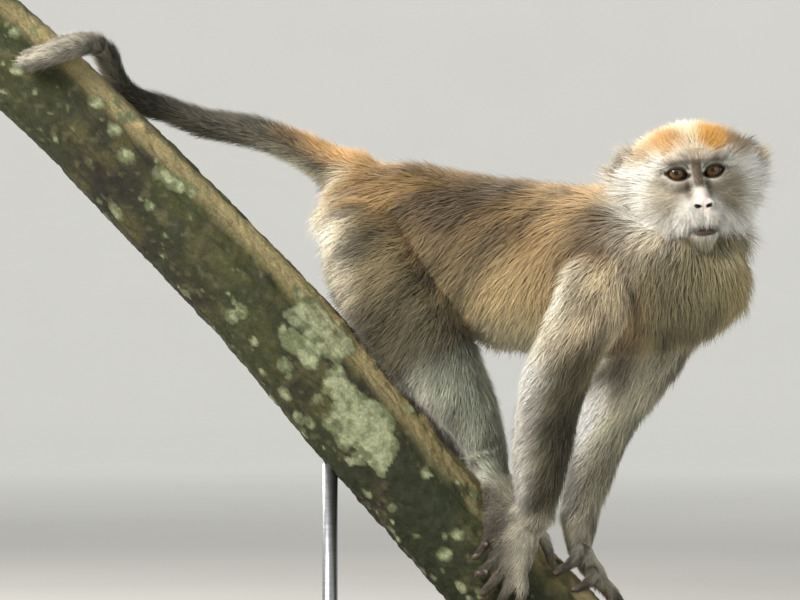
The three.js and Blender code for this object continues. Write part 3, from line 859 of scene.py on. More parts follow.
def skin_colour(coat):
    """The bare skin where there is no coat, and a darkened coat colour elsewhere."""
    face = ease(-26, -12, forward) * (1 - ease(12, 16, up)) * is_head
    at_front = ease(-16, -12, forward) * is_head
    eye_edge = np.minimum(eye_opening(hp, -1), eye_opening(hp, 1))
    over = ease(0, 2.5, up + 0.12 * (side - EYE_OUT))
    lids = (1 - ease(4.5, 6.5, eye_edge)) * over * (1 - 0.9 * ease(EYE_OUT - 7, EYE_OUT + 3, side))
    hood = (1 - ease(3.5, 6.5, eye_edge)) * over * ease(EYE_OUT - 5, EYE_OUT + 3, side)
    fold = np.exp(-(((eye_edge - 4.6) / 0.7) ** 2)) * over
    under = (1 - ease(2.2, 3.6, eye_edge)) * (1 - over)
    bridge = (1 - ease(2.6, 5.4, side)) * ease(-16, -9, up) * (1 - ease(9, 13, up))
    rim = 1 - ease(0.8 + 0.5 * over, 1.9 + 0.9 * over, eye_edge)
    return painted(
        coat * 0.5,
        (blend(coat * 0.85, SKIN_GREY, 0.35), face),
        # The outer upper lid painted darker: painted shade under the brow.
        (BRIDGE, 0.55 * hood * at_front),
        (LID_PALE, 0.95 * lids * at_front),
        # A dark line along the crease of the upper lid: painted shade in the crease.
        (BRIDGE, 0.7 * fold * at_front),
        (linear(186, 176, 162), 0.8 * under * at_front),
        (BRIDGE, 0.9 * bridge * at_front),
        (SKIN_PINK, spot((20, 0, -26), (16, 8.0, 11), 0.3)),
        (SKIN_DARK, rim * at_front),
        (SKIN_DARK, 0.9 * spot((-1, 6.4, -2.4), (6, 3.4, 2.0), 0.5)),  # inner corner of the eye: painted shade in its recess
        (linear(38, 26, 22), spot((25, 5.0, -30.2), (6.5, 3.3, 1.8), 0.4)),  # nostril: painted shade inside the opening
        # The lower lip's brown skin, darkened further as painted shade under the upper lip.
        (LIP, spot((22, 0, -53.2), (16, 12.6, 3.5), 0.4)),
        (SKIN_DARK, 0.85 * spot((22, 0, -50.0), (16, 17, 1.5), 0.4)),  # line of the mouth: painted shade in the slit
        (EAR, is_ear),
        (linear(62, 54, 48), is_end * (1 - ease(10, 26, from_tip))),  # fingers and toes
    )


def digit_tips(end):
    """The ends of a hand's or foot's digits: the skin's farthest places, each well apart."""
    mine = place == NUMBER[end]
    peak = mine & (away >= away[surface.ring].max(1) - 1e-6)
    tips = []
    for v in np.nonzero(peak)[0][np.argsort(-away[peak])]:
        if all(np.linalg.norm(co[v] - co[t]) > DIGIT_APART for t in tips):
            tips.append(v)
    return tips[:5]


DIGIT_APART = 11.0
TIPS = {end: digit_tips(end) for end in ENDS}
from_tip = np.full(len(co), 200.0)
for tips in TIPS.values():
    for v in tips:
        from_tip = np.minimum(from_tip, norm(co - co[v]))


def streaks(passes):
    """Noise drawn out along the lie of the coat, with unit spread."""
    value = np.random.default_rng(passes).standard_normal(len(co))
    total = np.full(len(co), 1e-9)
    weights = []
    for near in surface.ring.T:
        leg = co[near] - co
        w = ((leg * flow).sum(1) ** 2 / np.maximum((leg**2).sum(1), 1e-6)) ** 3
        weights.append(w)
        total += w
    for _ in range(passes):
        mixed = sum(w * value[near] for near, w in zip(surface.ring.T, weights)) / total
        value = 0.4 * value + 0.6 * mixed
    return (value - value.mean()) / value.std()


coat_colour = blend(body_colour(), head_colour(), np.clip(is_head + 0.25 * is_neck, 0, 1))
mottle = murmur(co, 14, 1) * 0.5 + murmur(co, 5, 2) * 0.5
coat_colour = coat_colour * (1 + 0.08 * mottle)[:, None]
coat_colour = surface.smoothed(coat_colour, 1)
streak = 0.75 * streaks(44) + 0.5 * streaks(12)
bare_colour = np.clip(skin_colour(coat_colour) * (1 + 0.08 * murmur(co, 2.5, 3))[:, None], 0, 1)

# ---- the skin piece


def paint(obj, colours, name="Tint"):
    rgba = np.ones((len(colours), 4), np.float32)
    rgba[:, :3] = colours
    layer = obj.data.color_attributes.new(name=name, type="FLOAT_COLOR", domain="POINT")
    layer.data.foreach_set("color", rgba.ravel())


skin = fast_mesh("skin", surface.co, surface.tri)
paint(skin, bare_colour)


def unwrap(obj):
    bpy.context.view_layer.objects.active = obj
    obj.select_set(True)
    bpy.ops.object.mode_set(mode="EDIT")
    bpy.ops.mesh.select_all(action="SELECT")
    bpy.ops.uv.smart_project(angle_limit=math.radians(66), island_margin=0.0015)
    bpy.ops.object.mode_set(mode="OBJECT")
    obj.select_set(False)
    layer = obj.data.uv_layers[0]
    layer.name = "OFBake"
    uv = np.empty(len(obj.data.loops) * 2, np.float32)
    layer.uv.foreach_get("vector", uv)
    return uv.reshape(-1, 3, 2)


skin_uv = unwrap(skin)


# ---- the coat

a_co, b_co, c_co = (co[surface.tri[:, k]] for k in range(3))
tri_area = norm(np.cross(b_co - a_co, c_co - a_co)) / 2

bare_eye = np.minimum(eye_opening(hp, -1), eye_opening(hp, 1))

# Length of the tufts, in millimetres.
from_face = np.sqrt(side**2 + (np.where(up > -18, 0.85, 1.0) * (up + 18)) ** 2)
cheek = 3.2 + 4.5 * ease(12, 26, from_face) + 18 * ease(33, 52, from_face)
cheek = np.minimum(cheek, 5 + 24 * ease(6, -26, forward))
crown = 5.5 + 6 * ease(9, 20, up)
temple = ease(12, 44, side) * ease(-6, 12, up) * (1 - ease(30, 48, up))
head_length = np.where(up > 8, crown, cheek)
moustache = spot((4, 26, -45), (18, 10, 6), 0.5) * is_head
beard = spot((8, 0, -66), (16, 20, 8), 0.5) * is_head
for longer, here in (
    (19, temple),
    (14, spot((6, 21, -43), (20, 14, 9), 0.5)),  # jowl
    (17, moustache),
    (6.5, spot((20, 0, -43), (14, 14, 5), 0.5)),  # upper lip
    (15, beard),
    (16, ease(-40, -60, forward)),  # nape
):
    head_length = np.maximum(head_length, longer * here)
end_length = 11 - 5.5 * (1 - ease(14, 50, from_tip))

# A part's share, the length of its tufts in mm, and the skin in square mm that each has to itself.
PARTS = (
    (is_torso, 23, 1.75),
    (is_neck, 25, 1.7),
    (is_arm, 19, 1.6),
    (is_forearm, 15, 1.4),
    (is_thigh, 20, 1.6),
    (is_shank, 14, 1.4),
    (is_tail, 11, 1.25),
    (is_end, end_length, 1.1),
    (is_head, head_length, 0.85),
)
covered = np.maximum(sum(part for part, _, _ in PARTS), 0.3)
length = surface.smoothed(sum(size * part for part, size, _ in PARTS) / covered, 5) * (1 - 0.45 * is_ear)
room = sum(area * part for part, _, area in PARTS) / covered

# Where the coat is thin or bare.
near_eyes = ease(2.6, 4.6, bare_eye) * (1 - 0.9 * spot((0, EYE_OUT - 5, 4.5), (9, 8, 3.0), 0.4))
thin = np.where(forward > -16, near_eyes, 1)
thin = thin * (1 - spot((24, 0, -28), (12, 8.5, 7), 0.25))
thin = thin * (1 - spot((22, 0, -53.2), (16, 12.2, 2.9), 0.3))
thin = thin * (1 - 0.6 * (side < 4) * (up < 8) * (up > -20) * (forward > 0))
thin = np.where(is_head > 0.3, thin, 1)
thin = thin * (1 - is_end * (1 - ease(5, 9, from_tip)))
thin = thin * (1 - 0.5 * is_ear)

cumulative = np.cumsum(tri_area * (thin / room)[surface.tri].mean(1))
count = int(cumulative[-1])
root_tri = np.searchsorted(cumulative, (np.arange(count) + RNG.random(count)) * cumulative[-1] / count)
root_tri = np.clip(root_tri, 0, len(surface.tri) - 1)
r1, r2 = RNG.random((2, count))
flip = r1 + r2 > 1
r1[flip], r2[flip] = 1 - r1[flip], 1 - r2[flip]
share = np.stack([1 - r1 - r2, r1, r2], 1)
at_head = to_head((co[surface.tri[root_tri]] * share[..., None]).sum(1))
on_lid = np.minimum(eye_opening(at_head, -1), eye_opening(at_head, 1)) < 2.6
clear_of_eyes = ~(on_lid & (at_head[:, 0] > -22) & (np.abs(at_head[:, 2]) < 14))
root_tri, share = root_tri[clear_of_eyes], share[clear_of_eyes]
count = len(root_tri)


def at_roots(values):
    corner = values[surface.tri[root_tri]]
    if values.ndim > 1:
        return (corner * share[..., None]).sum(1)
    return (corner * share).sum(1)


root = at_roots(co)
root_normal = unit(at_roots(normal))
root_flow = at_roots(flow)
root_length = at_roots(length)
root_clear = at_roots(clearance)
root_colour = at_roots(coat_colour)
root_head = at_roots(np.clip(is_head, 0, 1))
root_streak = at_roots(streak)
root_uv = (skin_uv[root_tri] * share[..., None]).sum(1)
root_place = place[surface.tri[root_tri]].max(1)

# Neighbouring tufts lean together, and each tuft a little its own way.
across = np.cross(root_normal, root_flow)
sway = 0.16 * murmur(root, 9, 4) + 0.20 * murmur(root, 26, 5) + 0.13 * RNG.standard_normal(count)
root_flow = unit(root_flow + across * sway[:, None])
root_flow = unit(root_flow - root_normal * (root_flow * root_normal).sum(1, keepdims=True))
across = np.cross(root_normal, root_flow)

vary = 1 + 0.18 * RNG.standard_normal(count) + 0.10 * murmur(root, 7, 6)
reach = root_length * np.clip(vary, 0.5, 1.5)
lift = np.clip(root_clear / np.maximum(root_length, 1), 0.08, 0.80) * (0.62 + 0.5 * RNG.random(count))
stray = RNG.random(count) < 0.04
lift = lift + 0.4 * at_roots(moustache) + 0.25 * at_roots(beard)
lift = np.arcsin(np.clip(lift * np.where(stray, 1.5, 1), 0.05, 0.85))
width = 0.36 + 0.024 * root_length
width = width * (1 - 0.2 * root_head) * np.clip(1 + 0.22 * RNG.standard_normal(count), 0.55, 1.5)
width = width * np.where(stray, 0.6, 1)

# Agouti: dark and light hairs side by side, in soft streaks along the lie.
tone = 1 + 0.18 * RNG.standard_normal(count) + (0.42 - 0.28 * root_head) * root_streak
tone = np.clip(tone, 0.42, 1.7)
tip_colour = root_colour * tone[:, None]
pale = 0.12 * (RNG.random(count) > 0.7) + 0.02 + 0.04 * np.clip(root_streak, 0, 2)
tip_colour = blend(tip_colour, linear(240, 224, 190), pale)
golden = 0.18 * np.clip(root_streak, 0, 1.5) * at_roots(is_torso)
tip_colour = blend(tip_colour, linear(214, 176, 112), golden)
base_colour = tip_colour * (0.55 + 0.24 * root_head)[:, None]


ROOT_DEPTH = 0.25  # how far a tuft's root is sunk in the skin
CURL = 0.2  # how far a tuft turns aside on its way, in radians
TAPER = 0.45  # what a tuft loses in width on its way to the tip
PATCH = 0.003  # the side of a tuft's patch in the UV map
SOFT_SHADE = 0.6  # how far a tuft is lit as the skin under it is


def tuft_mesh(name, pick, joints):
    """Joined tufts: three-sided, tapered, bent spikes with closed roots."""
    n = len(pick)
    p = root[pick] - root_normal[pick] * ROOT_DEPTH
    f, u, w = root_flow[pick], root_normal[pick], across[pick]
    size = reach[pick]
    curl = CURL * RNG.standard_normal(n)
    rings, tints = [], []
    low, high = base_colour[pick], tip_colour[pick]
    for k in range(joints):
        t = k / joints
        swing = curl * t
        heading = f * np.cos(swing)[:, None] + w * np.sin(swing)[:, None]
        broad = width[pick] * (1 - TAPER * t) / 2
        side_way = np.cross(u, heading)
        ring = [p + side_way * broad[:, None], p - side_way * broad[:, None], p + u * (0.7 * broad)[:, None]]
        rings.append(np.stack(ring, 1))
        tints.append(np.repeat(blend(low, high, np.full(n, min(1.0, 1.3 * t)))[:, None], 3, 1))
        middle = lift[pick] * (1.55 - 1.15 * (t + 0.5 / joints))
        p = p + (heading * np.cos(middle)[:, None] + u * np.sin(middle)[:, None]) * (size / joints)[:, None]
    verts = np.concatenate([np.stack(rings, 1).reshape(n, -1, 3), p[:, None]], 1)
    colours = np.concatenate([np.stack(tints, 1).reshape(n, -1, 3), (high * 1.06)[:, None]], 1)
    faces = [(0, 1, 2)]
    for k in range(joints - 1):
        for a, b in ((0, 2), (2, 1), (1, 0)):
            i, j, m, o = 3 * k + a, 3 * k + b, 3 * k + 3 + a, 3 * k + 3 + b
            faces += [(i, j, o), (i, o, m)]
    tip = 3 * joints
    faces += [(tip - 3 + a, tip - 3 + b, tip) for a, b in ((0, 2), (2, 1), (1, 0))]
    tri = (np.arange(n)[:, None, None] * (tip + 1) + np.array(faces)).reshape(-1, 3)
    obj = fast_mesh(name, verts.reshape(-1, 3), tri)
    paint(obj, np.clip(colours.reshape(-1, 3), 0, 1))
    # Each tuft is a small patch of the skin's own unwrap, root to tip.
    along = np.array([k / joints for k in range(joints) for _ in range(3)] + [1.0]) - 0.5
    aside = np.array([(-0.5, 0.5, 0.0)[j] for _ in range(joints) for j in range(3)] + [0.0])
    uv = root_uv[pick][:, None] + np.stack([aside, along], 1)[None] * PATCH
    layer = obj.data.uv_layers.new(name="OFBake")
    layer.uv.foreach_set("vector", uv.reshape(-1, 2)[tri.ravel()].astype(np.float32).ravel())
    own = np.empty(len(obj.data.vertices) * 3, np.float32)
    obj.data.vertices.foreach_get("normal", own)
    lying = np.repeat(u[:, None], tip + 1, 1).reshape(-1, 3)
    shading = unit(blend(own.reshape(-1, 3), lying, np.full(len(lying), SOFT_SHADE)))
    obj.data.normals_split_custom_set_from_vertices(shading)
    return obj


REGIONS = {
    "head": (["head", *EARS], "coat_pale"),
    "trunk": (["torso", "neck"], "coat_back"),
    "arm_right": (["upper_arm_right", "forearm_right"], "coat_back"),
    "arm_left": (["upper_arm_left", "forearm_left"], "coat_back"),
    "leg_right": (["thigh_right", "shank_right"], "coat_back"),
    "leg_left": (["thigh_left", "shank_left"], "coat_back"),
    "hands": (ENDS, "coat_grey"),
    "tail": (TAILS, "coat_grey"),
}
MOST_TRIANGLES = 195000
STRAIGHT = 0.62  # share of the long tufts that are straight, with 4 triangles; the others bend, with 10
straight = (RNG.random(count) < STRAIGHT) | (root_length < 7)
coats = []
for region, (nodes, slot) in REGIONS.items():
    mine = np.isin(root_place, [NUMBER[n] for n in nodes])
    for kind, chosen, joints, each in (("short", mine & straight, 1, 4), ("long", mine & ~straight, 2, 10)):
        chosen = np.nonzero(chosen)[0]
        if not len(chosen):
            continue
        pieces = math.ceil(len(chosen) * each / MOST_TRIANGLES)
        order = chosen[np.argsort(root[chosen][:, 0] + root[chosen][:, 2], kind="stable")]
        for k, part in enumerate(np.array_split(order, pieces)):
            name = f"coat_{region}_{kind}" + (f"_{k + 1}" if pieces > 1 else "")
            coats.append((tuft_mesh(name, part, joints), slot))

# ---- materials


class Look:
    """A node material with a Principled shader, built a node at a time."""

    def __init__(self, name, rough, metal=0.0, **sockets):
        self.material = bpy.data.materials.new(name)
        self.material.use_nodes = True
        self.tree = self.material.node_tree
        self.shader = self.tree.nodes["Principled BSDF"]
        for key, value in {"Roughness": rough, "Metallic": metal, **sockets}.items():
            self.shader.inputs[key.replace("_", " ")].default_value = value

    def node(self, kind, **values):
        node = self.tree.nodes.new(kind)
        for key, value in values.items():
            if key in node.inputs:
                socket = node.inputs[key]
                if hasattr(value, "is_output"):
                    self.tree.links.new(value, socket)
                else:
                    socket.default_value = value
            else:
                setattr(node, key, value)
        return node

    def link(self, source, socket):
        self.tree.links.new(source, self.shader.inputs[socket])

    def tint(self, name="Tint"):
        return self.node("ShaderNodeAttribute", attribute_name=name).outputs["Color"]

    def where(self, scale=None):
        """Places in the piece's own metres, or stretched."""
        place = self.node("ShaderNodeTexCoord").outputs["Object"]
        if scale:
            place = self.node("ShaderNodeMapping", Vector=place, Scale=scale).outputs["Vector"]
        return place

    def noise(self, scale, detail, rough=0.55, where=None):
        node = self.node("ShaderNodeTexNoise", Scale=scale, Detail=detail, Roughness=rough)
        if where is None:
            where = self.where()
        self.tree.links.new(where, node.inputs["Vector"])
        return node.outputs["Fac"]

    def ramp(self, value, *stops):
        node = self.node("ShaderNodeValToRGB", Fac=value)
        ramp = node.color_ramp
        while len(ramp.elements) < len(stops):
            ramp.elements.new(0.5)
        for element, (at, colour) in zip(ramp.elements, stops):
            element.position = at
            element.color = (*colour, 1) if len(colour) == 3 else colour
        return node.outputs["Color"]

    def mix(self, share, a, b, kind="MIX"):
        node = self.node("ShaderNodeMix", data_type="RGBA", blend_type=kind)
        for socket, value in ((node.inputs[0], share), (node.inputs[6], a), (node.inputs[7], b)):
            if hasattr(value, "is_output"):
                self.tree.links.new(value, socket)
            elif isinstance(value, (int, float)):
                socket.default_value = value
            else:
                socket.default_value = (*value, 1)
        return node.outputs[2]

    def greys(self, value, *stops):
        return self.ramp(value, *[(at, (v, v, v)) for at, v in stops])

    def shaded(self, colour, value, *stops):
        """Base colour: a colour times greys that follow a value."""
        self.link(self.mix(1.0, colour, self.greys(value, *stops), "MULTIPLY"), "Base Color")

    def roughness(self, value, *stops):
        self.link(self.greys(value, *stops), "Roughness")

    def bump(self, height, strength, distance):
        node = self.node("ShaderNodeBump", Height=height, Strength=strength, Distance=distance)
        self.link(node.outputs["Normal"], "Normal")


def coat_look():
    look = Look("coat_hair", 0.58, Specular_IOR_Level=0.35, Sheen_Weight=0.12)
    look.shaded(look.tint(), look.noise(900, 3.0), (0.3, 0.82), (0.7, 1.12))
    look.roughness(look.noise(260, 2.0), (0.3, 0.5), (0.75, 0.72))
    return look.material


def skin_look():
    look = Look("skin_under_coat", 0.55, Specular_IOR_Level=0.4)
    fine = look.noise(1400, 4.0, 0.6)
    look.shaded(look.tint(), fine, (0.3, 0.80), (0.7, 1.14))
    look.roughness(look.noise(500, 2.0), (0.3, 0.45), (0.7, 0.66))
    look.bump(fine, 0.35, 0.0004)
    return look.material


hair = coat_look()
for obj, slot in coats:
    dress(obj, hair, slot)
dress(skin, skin_look(), "coat_grey", *FLESH)

# ---- eyes

CAMERA_AT = np.array((node_middle("stand_base")[0], -4000.0, 414.0))


def eye_piece(way):
    """A glossy globe with the clear bulge over its iris, looking a little past the viewer."""
    name = "eyeball_" + ("left" if way > 0 else "right")
    centre = eye_left if way > 0 else eye_right
    gaze = unit(unit(CAMERA_AT - centre) + 0.02 * UP)
    rings, segments = 56, 72
    tilt = np.linspace(0, 1, rings + 1) ** 1.25 * math.pi
    T, P = around_axis(tilt[1:-1], segments)
    bulge = 0.75 * np.exp(-((T / 0.52) ** 4))
    radius = EYE_R - 0.25 + bulge - 0.25
    x, y, z = radius * np.cos(T), radius * np.sin(T) * np.cos(P), radius * np.sin(T) * np.sin(P)
    poles = np.array([[EYE_R + 0.25, 0, 0], [-(EYE_R - 0.5), 0, 0]])
    local = np.concatenate([np.stack([x, y, z], 1), poles])
    right_way = unit(np.cross(gaze, (0, 0, 1)))
    axes = np.stack([gaze, right_way, np.cross(right_way, gaze)])
    points = local @ axes + centre
    obj = fast_mesh(name, points, ring_faces(rings - 1, segments))
    # Its colours go by the angle from the gaze.
    angle = np.concatenate([T, [0, math.pi]])
    spoke = np.concatenate([P, [0, 0]])
    fibre = 0.5 + 0.25 * np.sin(spoke * 23 + 2 * np.sin(spoke * 5)) + 0.25 * np.sin(spoke * 41 + 1.3)
    iris = blend(linear(66, 45, 20), linear(126, 96, 52), fibre * ease(0.2, 0.5, angle))
    iris = blend(iris, linear(30, 20, 12), ease(0.60, 0.72, angle))  # dark edge
    iris = blend(iris, linear(3, 3, 3), 1 - ease(0.17, 0.205, angle))  # pupil
    paint(obj, blend(iris, linear(58, 42, 31), ease(0.74, 0.80, angle)))  # brown white of the eye
    return obj


def eye_look():
    look = Look("eye_gloss", 0.22, Specular_IOR_Level=0.1, Coat_Weight=0.7, Coat_Roughness=0.03)
    look.shaded(look.tint(), look.noise(3200, 2.0), (0.35, 0.86), (0.7, 1.1))
    return look.material


eye_gloss = eye_look()
for way, side_name in ((-1, "right"), (1, "left")):
    dress(eye_piece(way), eye_gloss, "eye", f"eye_{side_name}")

# ---- nails

NAIL = (4.6, 2.7, 1.3)  # half length, half width, half thickness
NAIL_NEAR, FINGER_NEAR = 7.5, 16  # how far from a tip its nail and the last joint of its digit are sought


def nail_shape(rings=12, segments=20):
    """A flat oval plate with a squarer free edge, curved over the finger, as points and triangles."""
    T, P = around_axis(np.linspace(0, math.pi, rings + 1)[1:-1], segments)
    x = np.sign(np.cos(T)) * np.abs(np.cos(T)) ** 0.8
    y = np.sin(T) ** 0.75 * np.cos(P)
    z = np.sin(T) ** 0.75 * np.sin(P)
    shape = np.concatenate([np.stack([x, y, z], 1), [[1, 0, 0], [-1, 0, 0]]]) * NAIL
    shape[:, 2] -= 0.11 * shape[:, 1] ** 2 + 0.03 * np.clip(shape[:, 0], 0, None) ** 2
    return shape, ring_faces(rings - 1, segments)


def nail_look():
    look = Look("horn", 0.32)
    fine = look.noise(1600, 3.0, 0.6)
    look.link(look.ramp(fine, (0.3, linear(58, 48, 41)), (0.7, linear(98, 84, 72))), "Base Color")
    look.roughness(fine, (0.3, 0.26), (0.7, 0.44))
    look.bump(fine, 0.2, 0.0002)
    return look.material


horn = nail_look()
plate, plate_tri = nail_shape()
for end in ENDS:
    points = []
    for v in TIPS[end]:
        near, back = (np.nonzero((norm(co - co[v]) < most) & (place == NUMBER[end]))[0]
                      for most in (NAIL_NEAR, FINGER_NEAR))
        ahead = unit(co[v] - co[back].mean(0))
        outward = unit(from_branch(co[v]))
        bed = near[np.argmax((co[near] - co[v]) @ outward - 0.25 * np.abs((co[near] - co[v]) @ ahead + 3.0))]
        raised = unit(normal[bed] + outward)
        raised = unit(raised - ahead * (raised @ ahead) * 0.9)
        ahead = unit(ahead - raised * (ahead @ raised))
        axes = np.stack([ahead, np.cross(raised, ahead), raised])
        points.append(plate @ axes + co[bed] + raised * 0.15)
    triangles = np.concatenate([plate_tri + k * len(plate) for k in range(len(points))])
    nails = fast_mesh(f"nails_{end}", np.concatenate(points), triangles)
    dress(nails, horn, "coat_grey")

# ---- branch

PERCH_VOXEL = 2.2
perch_grid = Grid(perch_co.min(0) - 6, perch_co.max(0) + 6, PERCH_VOXEL)
perch_field = blur(perch_grid.distances(perch_co, perch_tri, 9.0, perch_grid.all()), 2)
bark_co, bark_tri, bark_quad = perch_grid.mesh(perch_field)
bark_tri, bark_quad = bark_tri.astype(np.int64), bark_quad.astype(np.int64)
bark_tri = np.concatenate([bark_tri, bark_quad[:, [0, 1, 2]], bark_quad[:, [0, 2, 3]]])
bark_tri = facing_out(bark_co, bark_tri)
bark = Surface(*largest_body(bark_co.astype(float), bark_tri))

# Its two cut ends, and how far along and round it each place is.
along = (bark.co - PERCH_AT) @ PERCH_WAY
bins = np.linspace(along.min(), along.max(), 40)[2:-2]
rings = np.array([np.mean(bark.co[np.abs(along - b) < 14], 0) for b in bins])
fits = [np.polyfit(bins, rings[:, k], 4) for k in range(3)]
out = bark.co - np.stack([np.polyval(f, along) for f in fits], 1)
out = out - np.outer(out @ PERCH_WAY, PERCH_WAY)
radius = norm(out)
top_way = unit(np.cross(PERCH_WAY, (0, 1, 0)))
top_way = top_way * np.sign(top_way[2])
around = np.arctan2(-out[:, 1], out @ top_way)
bark_normal = bark.normals()
near_end = (along < along.min() + 12) | (along > along.max() - 12)
is_cut = ease(0.75, 0.9, np.abs(bark_normal @ PERCH_WAY)) * near_end
rim = 1 - is_cut
drawn = bark.co - np.outer(along, PERCH_WAY) * 0.72  # noise of this is stretched along the branch


def crust(centre, size):
    """How deep inside a broad crust of lichen a place is, in millimetres."""
    q = bark.co - np.array(centre, float)
    q = q - np.outer(q @ PERCH_WAY, PERCH_WAY) * 0.35  # longer along the branch
    return size - norm(q)


def bark_noise(size, seed):
    return murmur(bark.co, size, seed)


# Lichen: a few broad crusts where the photo has them, and many small round ones anywhere.
BROAD = (((-20, -40, 396), 27), ((-34, -42, 374), 17), ((18, -42, 303), 30), ((2, -42, 332), 18),
         ((-150, -30, 520), 17), ((-205, -20, 585), 13), ((-70, 38, 430), 34), ((90, 36, 300), 26))
seeds = np.random.default_rng(17)
lichen_depth = np.max([crust(c, r) for c, r in BROAD], 0)
lichen_depth = np.minimum(lichen_depth, 12) + 9 * bark_noise(13, 14) - 2
for k in seeds.integers(0, len(bark.co), 460):
    size = 1.6 + 6.5 * seeds.random() ** 3
    near = np.abs(along - along[k]) < size + 3
    reached = size - norm(bark.co[near] - bark.co[k])
    lichen_depth[near] = np.maximum(lichen_depth[near], reached)
lichen_depth = lichen_depth + 1.6 * bark_noise(4.5, 16) + 0.8 * bark_noise(2.2, 25)
lichen = ease(-0.4, 0.9, lichen_depth) * rim
lichen = lichen * (0.72 + 0.28 * ease(-0.5, 0.2, bark_noise(3.4, 26)))

rough = 0.55 * murmur(drawn, 17, 11) + 0.45 * bark_noise(7, 12)
cracks = np.exp(-((murmur(drawn, 13, 13) / 0.10) ** 2)) + 0.7 * np.exp(-((murmur(drawn, 7, 27) / 0.09) ** 2))
scars = np.exp(-((np.sin(along / 21 + 1.1 * bark_noise(70, 28)) - 1) / 0.02) ** 2)
scars = scars * ease(0, 0.3, murmur(drawn, 60, 29))
moss_field = bark_noise(48, 17) + 0.5 * bark_noise(12, 18) + 0.75 * ease(100, 190, along)
moss_field = moss_field - 0.5 * np.cos(around)
moss = ease(0.45, 1.0, moss_field) * rim * (1 - 0.8 * lichen)
height = 1.5 * rough - 1.0 * np.clip(cracks, 0, 1.2) + 0.9 * scars + 0.5 * bark_noise(3.2, 30)
height = rim * height + 0.45 * lichen + 1.1 * moss * (0.5 + 0.5 * bark_noise(3.5, 19)) - 1.5 * rim - 0.6
bark.co = bark.co + bark_normal * height[:, None]

tan_edge = ease(0.72, 0.96, np.cos(around - 0.35)) * ease(-0.6, 0.3, murmur(drawn, 30, 22))
bark_brown = painted(
    linear(73, 70, 37),
    (linear(35, 34, 17), ease(-0.4, 0.5, bark_noise(21, 20))),
    # The cracks painted darker: painted shade in the cracks.
    (linear(30, 27, 18), np.clip(cracks, 0, 1) * 0.75),
    (linear(92, 82, 58), 0.5 * scars),
    (linear(52, 60, 24), 0.6 * ease(0.0, 0.9, bark_noise(60, 21) + 0.3)),
    (linear(98, 92, 64), 0.5 * ease(0.25, 0.7, bark_noise(5, 31))),
    (linear(176, 160, 114), 0.8 * tan_edge),
    (linear(33, 40, 14), 0.9 * moss),
)
pale_share = ease(-0.3, 0.6, bark_noise(6, 23) + 0.12 * np.clip(lichen_depth - 3, -4, 4))
lichen_tint = blend(linear(104, 112, 78), linear(160, 166, 130), pale_share)
bark_tint = blend(bark_brown, lichen_tint, 0.92 * lichen)
year = 0.5 + 0.5 * np.sin(radius * 1.7 + 1.5 * bark_noise(25, 24))
wood = blend(linear(176, 146, 104), linear(130, 98, 64), year * 0.7)
wood = blend(wood, linear(92, 66, 44), 1 - ease(3, 9, radius))
bark_tint = blend(bark_tint, wood, is_cut)
bark_piece = fast_mesh("bark", bark.co, bark.tri)
paint(bark_piece, np.clip(bark_tint, 0, 1))


def bark_look():
    look = Look("bark_and_lichen", 0.85)
    fine = look.noise(420, 6.0, 0.65)
    look.shaded(look.tint(), fine, (0.28, 0.62), (0.72, 1.28))
    look.roughness(look.noise(120, 3.0), (0.3, 0.72), (0.7, 0.95))
    look.bump(fine, 0.8, 0.0012)
    return look.material


dress(bark_piece, bark_look(), "bark", "perch")

# ---- stand


def turned(name, profile, centre, segments=64):
    """A solid of revolution about a vertical line, from (radius, height) pairs."""
    turn = circle(segments)
    ring = np.stack([np.cos(turn), np.sin(turn), np.zeros(segments)], 1)
    rows = [ring * r + (0, 0, z) for r, z in profile]
    poles = [[0, 0, profile[0][1]], [0, 0, profile[-1][1]]]
    return fast_mesh(name, np.concatenate([*rows, poles]) + centre, ring_faces(len(rows), segments, True))


def steel_look():
    look = Look("brushed_steel", 0.3, 1.0)
    fine = look.noise(60, 3.0, 0.5, look.where((1, 1, 40)))
    look.link(look.ramp(fine, (0.2, linear(150, 152, 156)), (0.8, linear(190, 192, 196))), "Base Color")
    look.roughness(fine, (0.2, 0.26), (0.8, 0.40))
    look.bump(fine, 0.15, 0.0002)
    return look.material


def walnut_look():
    look = Look("oiled_walnut", 0.4, Coat_Weight=0.25, Coat_Roughness=0.18)
    long_way = look.where((1.0, 9.0, 9.0))
    grain = look.noise(7, 8.0, 0.62, long_way)
    pores = look.noise(90, 3.0, 0.6, long_way)
    wood = look.ramp(grain, (0.30, linear(46, 28, 18)), (0.48, linear(84, 54, 34)),
                     (0.62, linear(66, 41, 26)), (0.8, linear(104, 70, 45)))
    look.shaded(wood, pores, (0.34, 0.62), (0.5, 1.0))
    look.roughness(pores, (0.3, 0.55), (0.6, 0.34))
    look.bump(pores, 0.25, 0.0003)
    return look.material


STEM = 7.0  # radius of the rods
# The foot of a rod: in from its edge, and up.
ROD_FOOT = ((1.2, 0), (0.3, 0.4), (0, 1.2), (0, 3.6), (0.4, 4.6), (1.4, 5.0))
quarter = np.linspace(0, math.pi / 2, 9)
steel = steel_look()
for number in (1, 2):
    low, high = node_box(f"stand_rod_{number}")
    centre = (low + high) / 2
    stem, foot = STEM, (high[1] - low[1]) / 2
    profile = [(foot - in_by, z) for in_by, z in ROD_FOOT]
    profile += [(stem + 4 * (1 - math.sin(a)), 5 + 4 * (1 - math.cos(a))) for a in quarter]
    profile += [(stem, high[2] - low[2])]
    piece = turned(f"steel_rod_{number}", profile, (centre[0], centre[1], low[2]))
    dress(piece, steel, "steel", f"stand_rod_{number}")


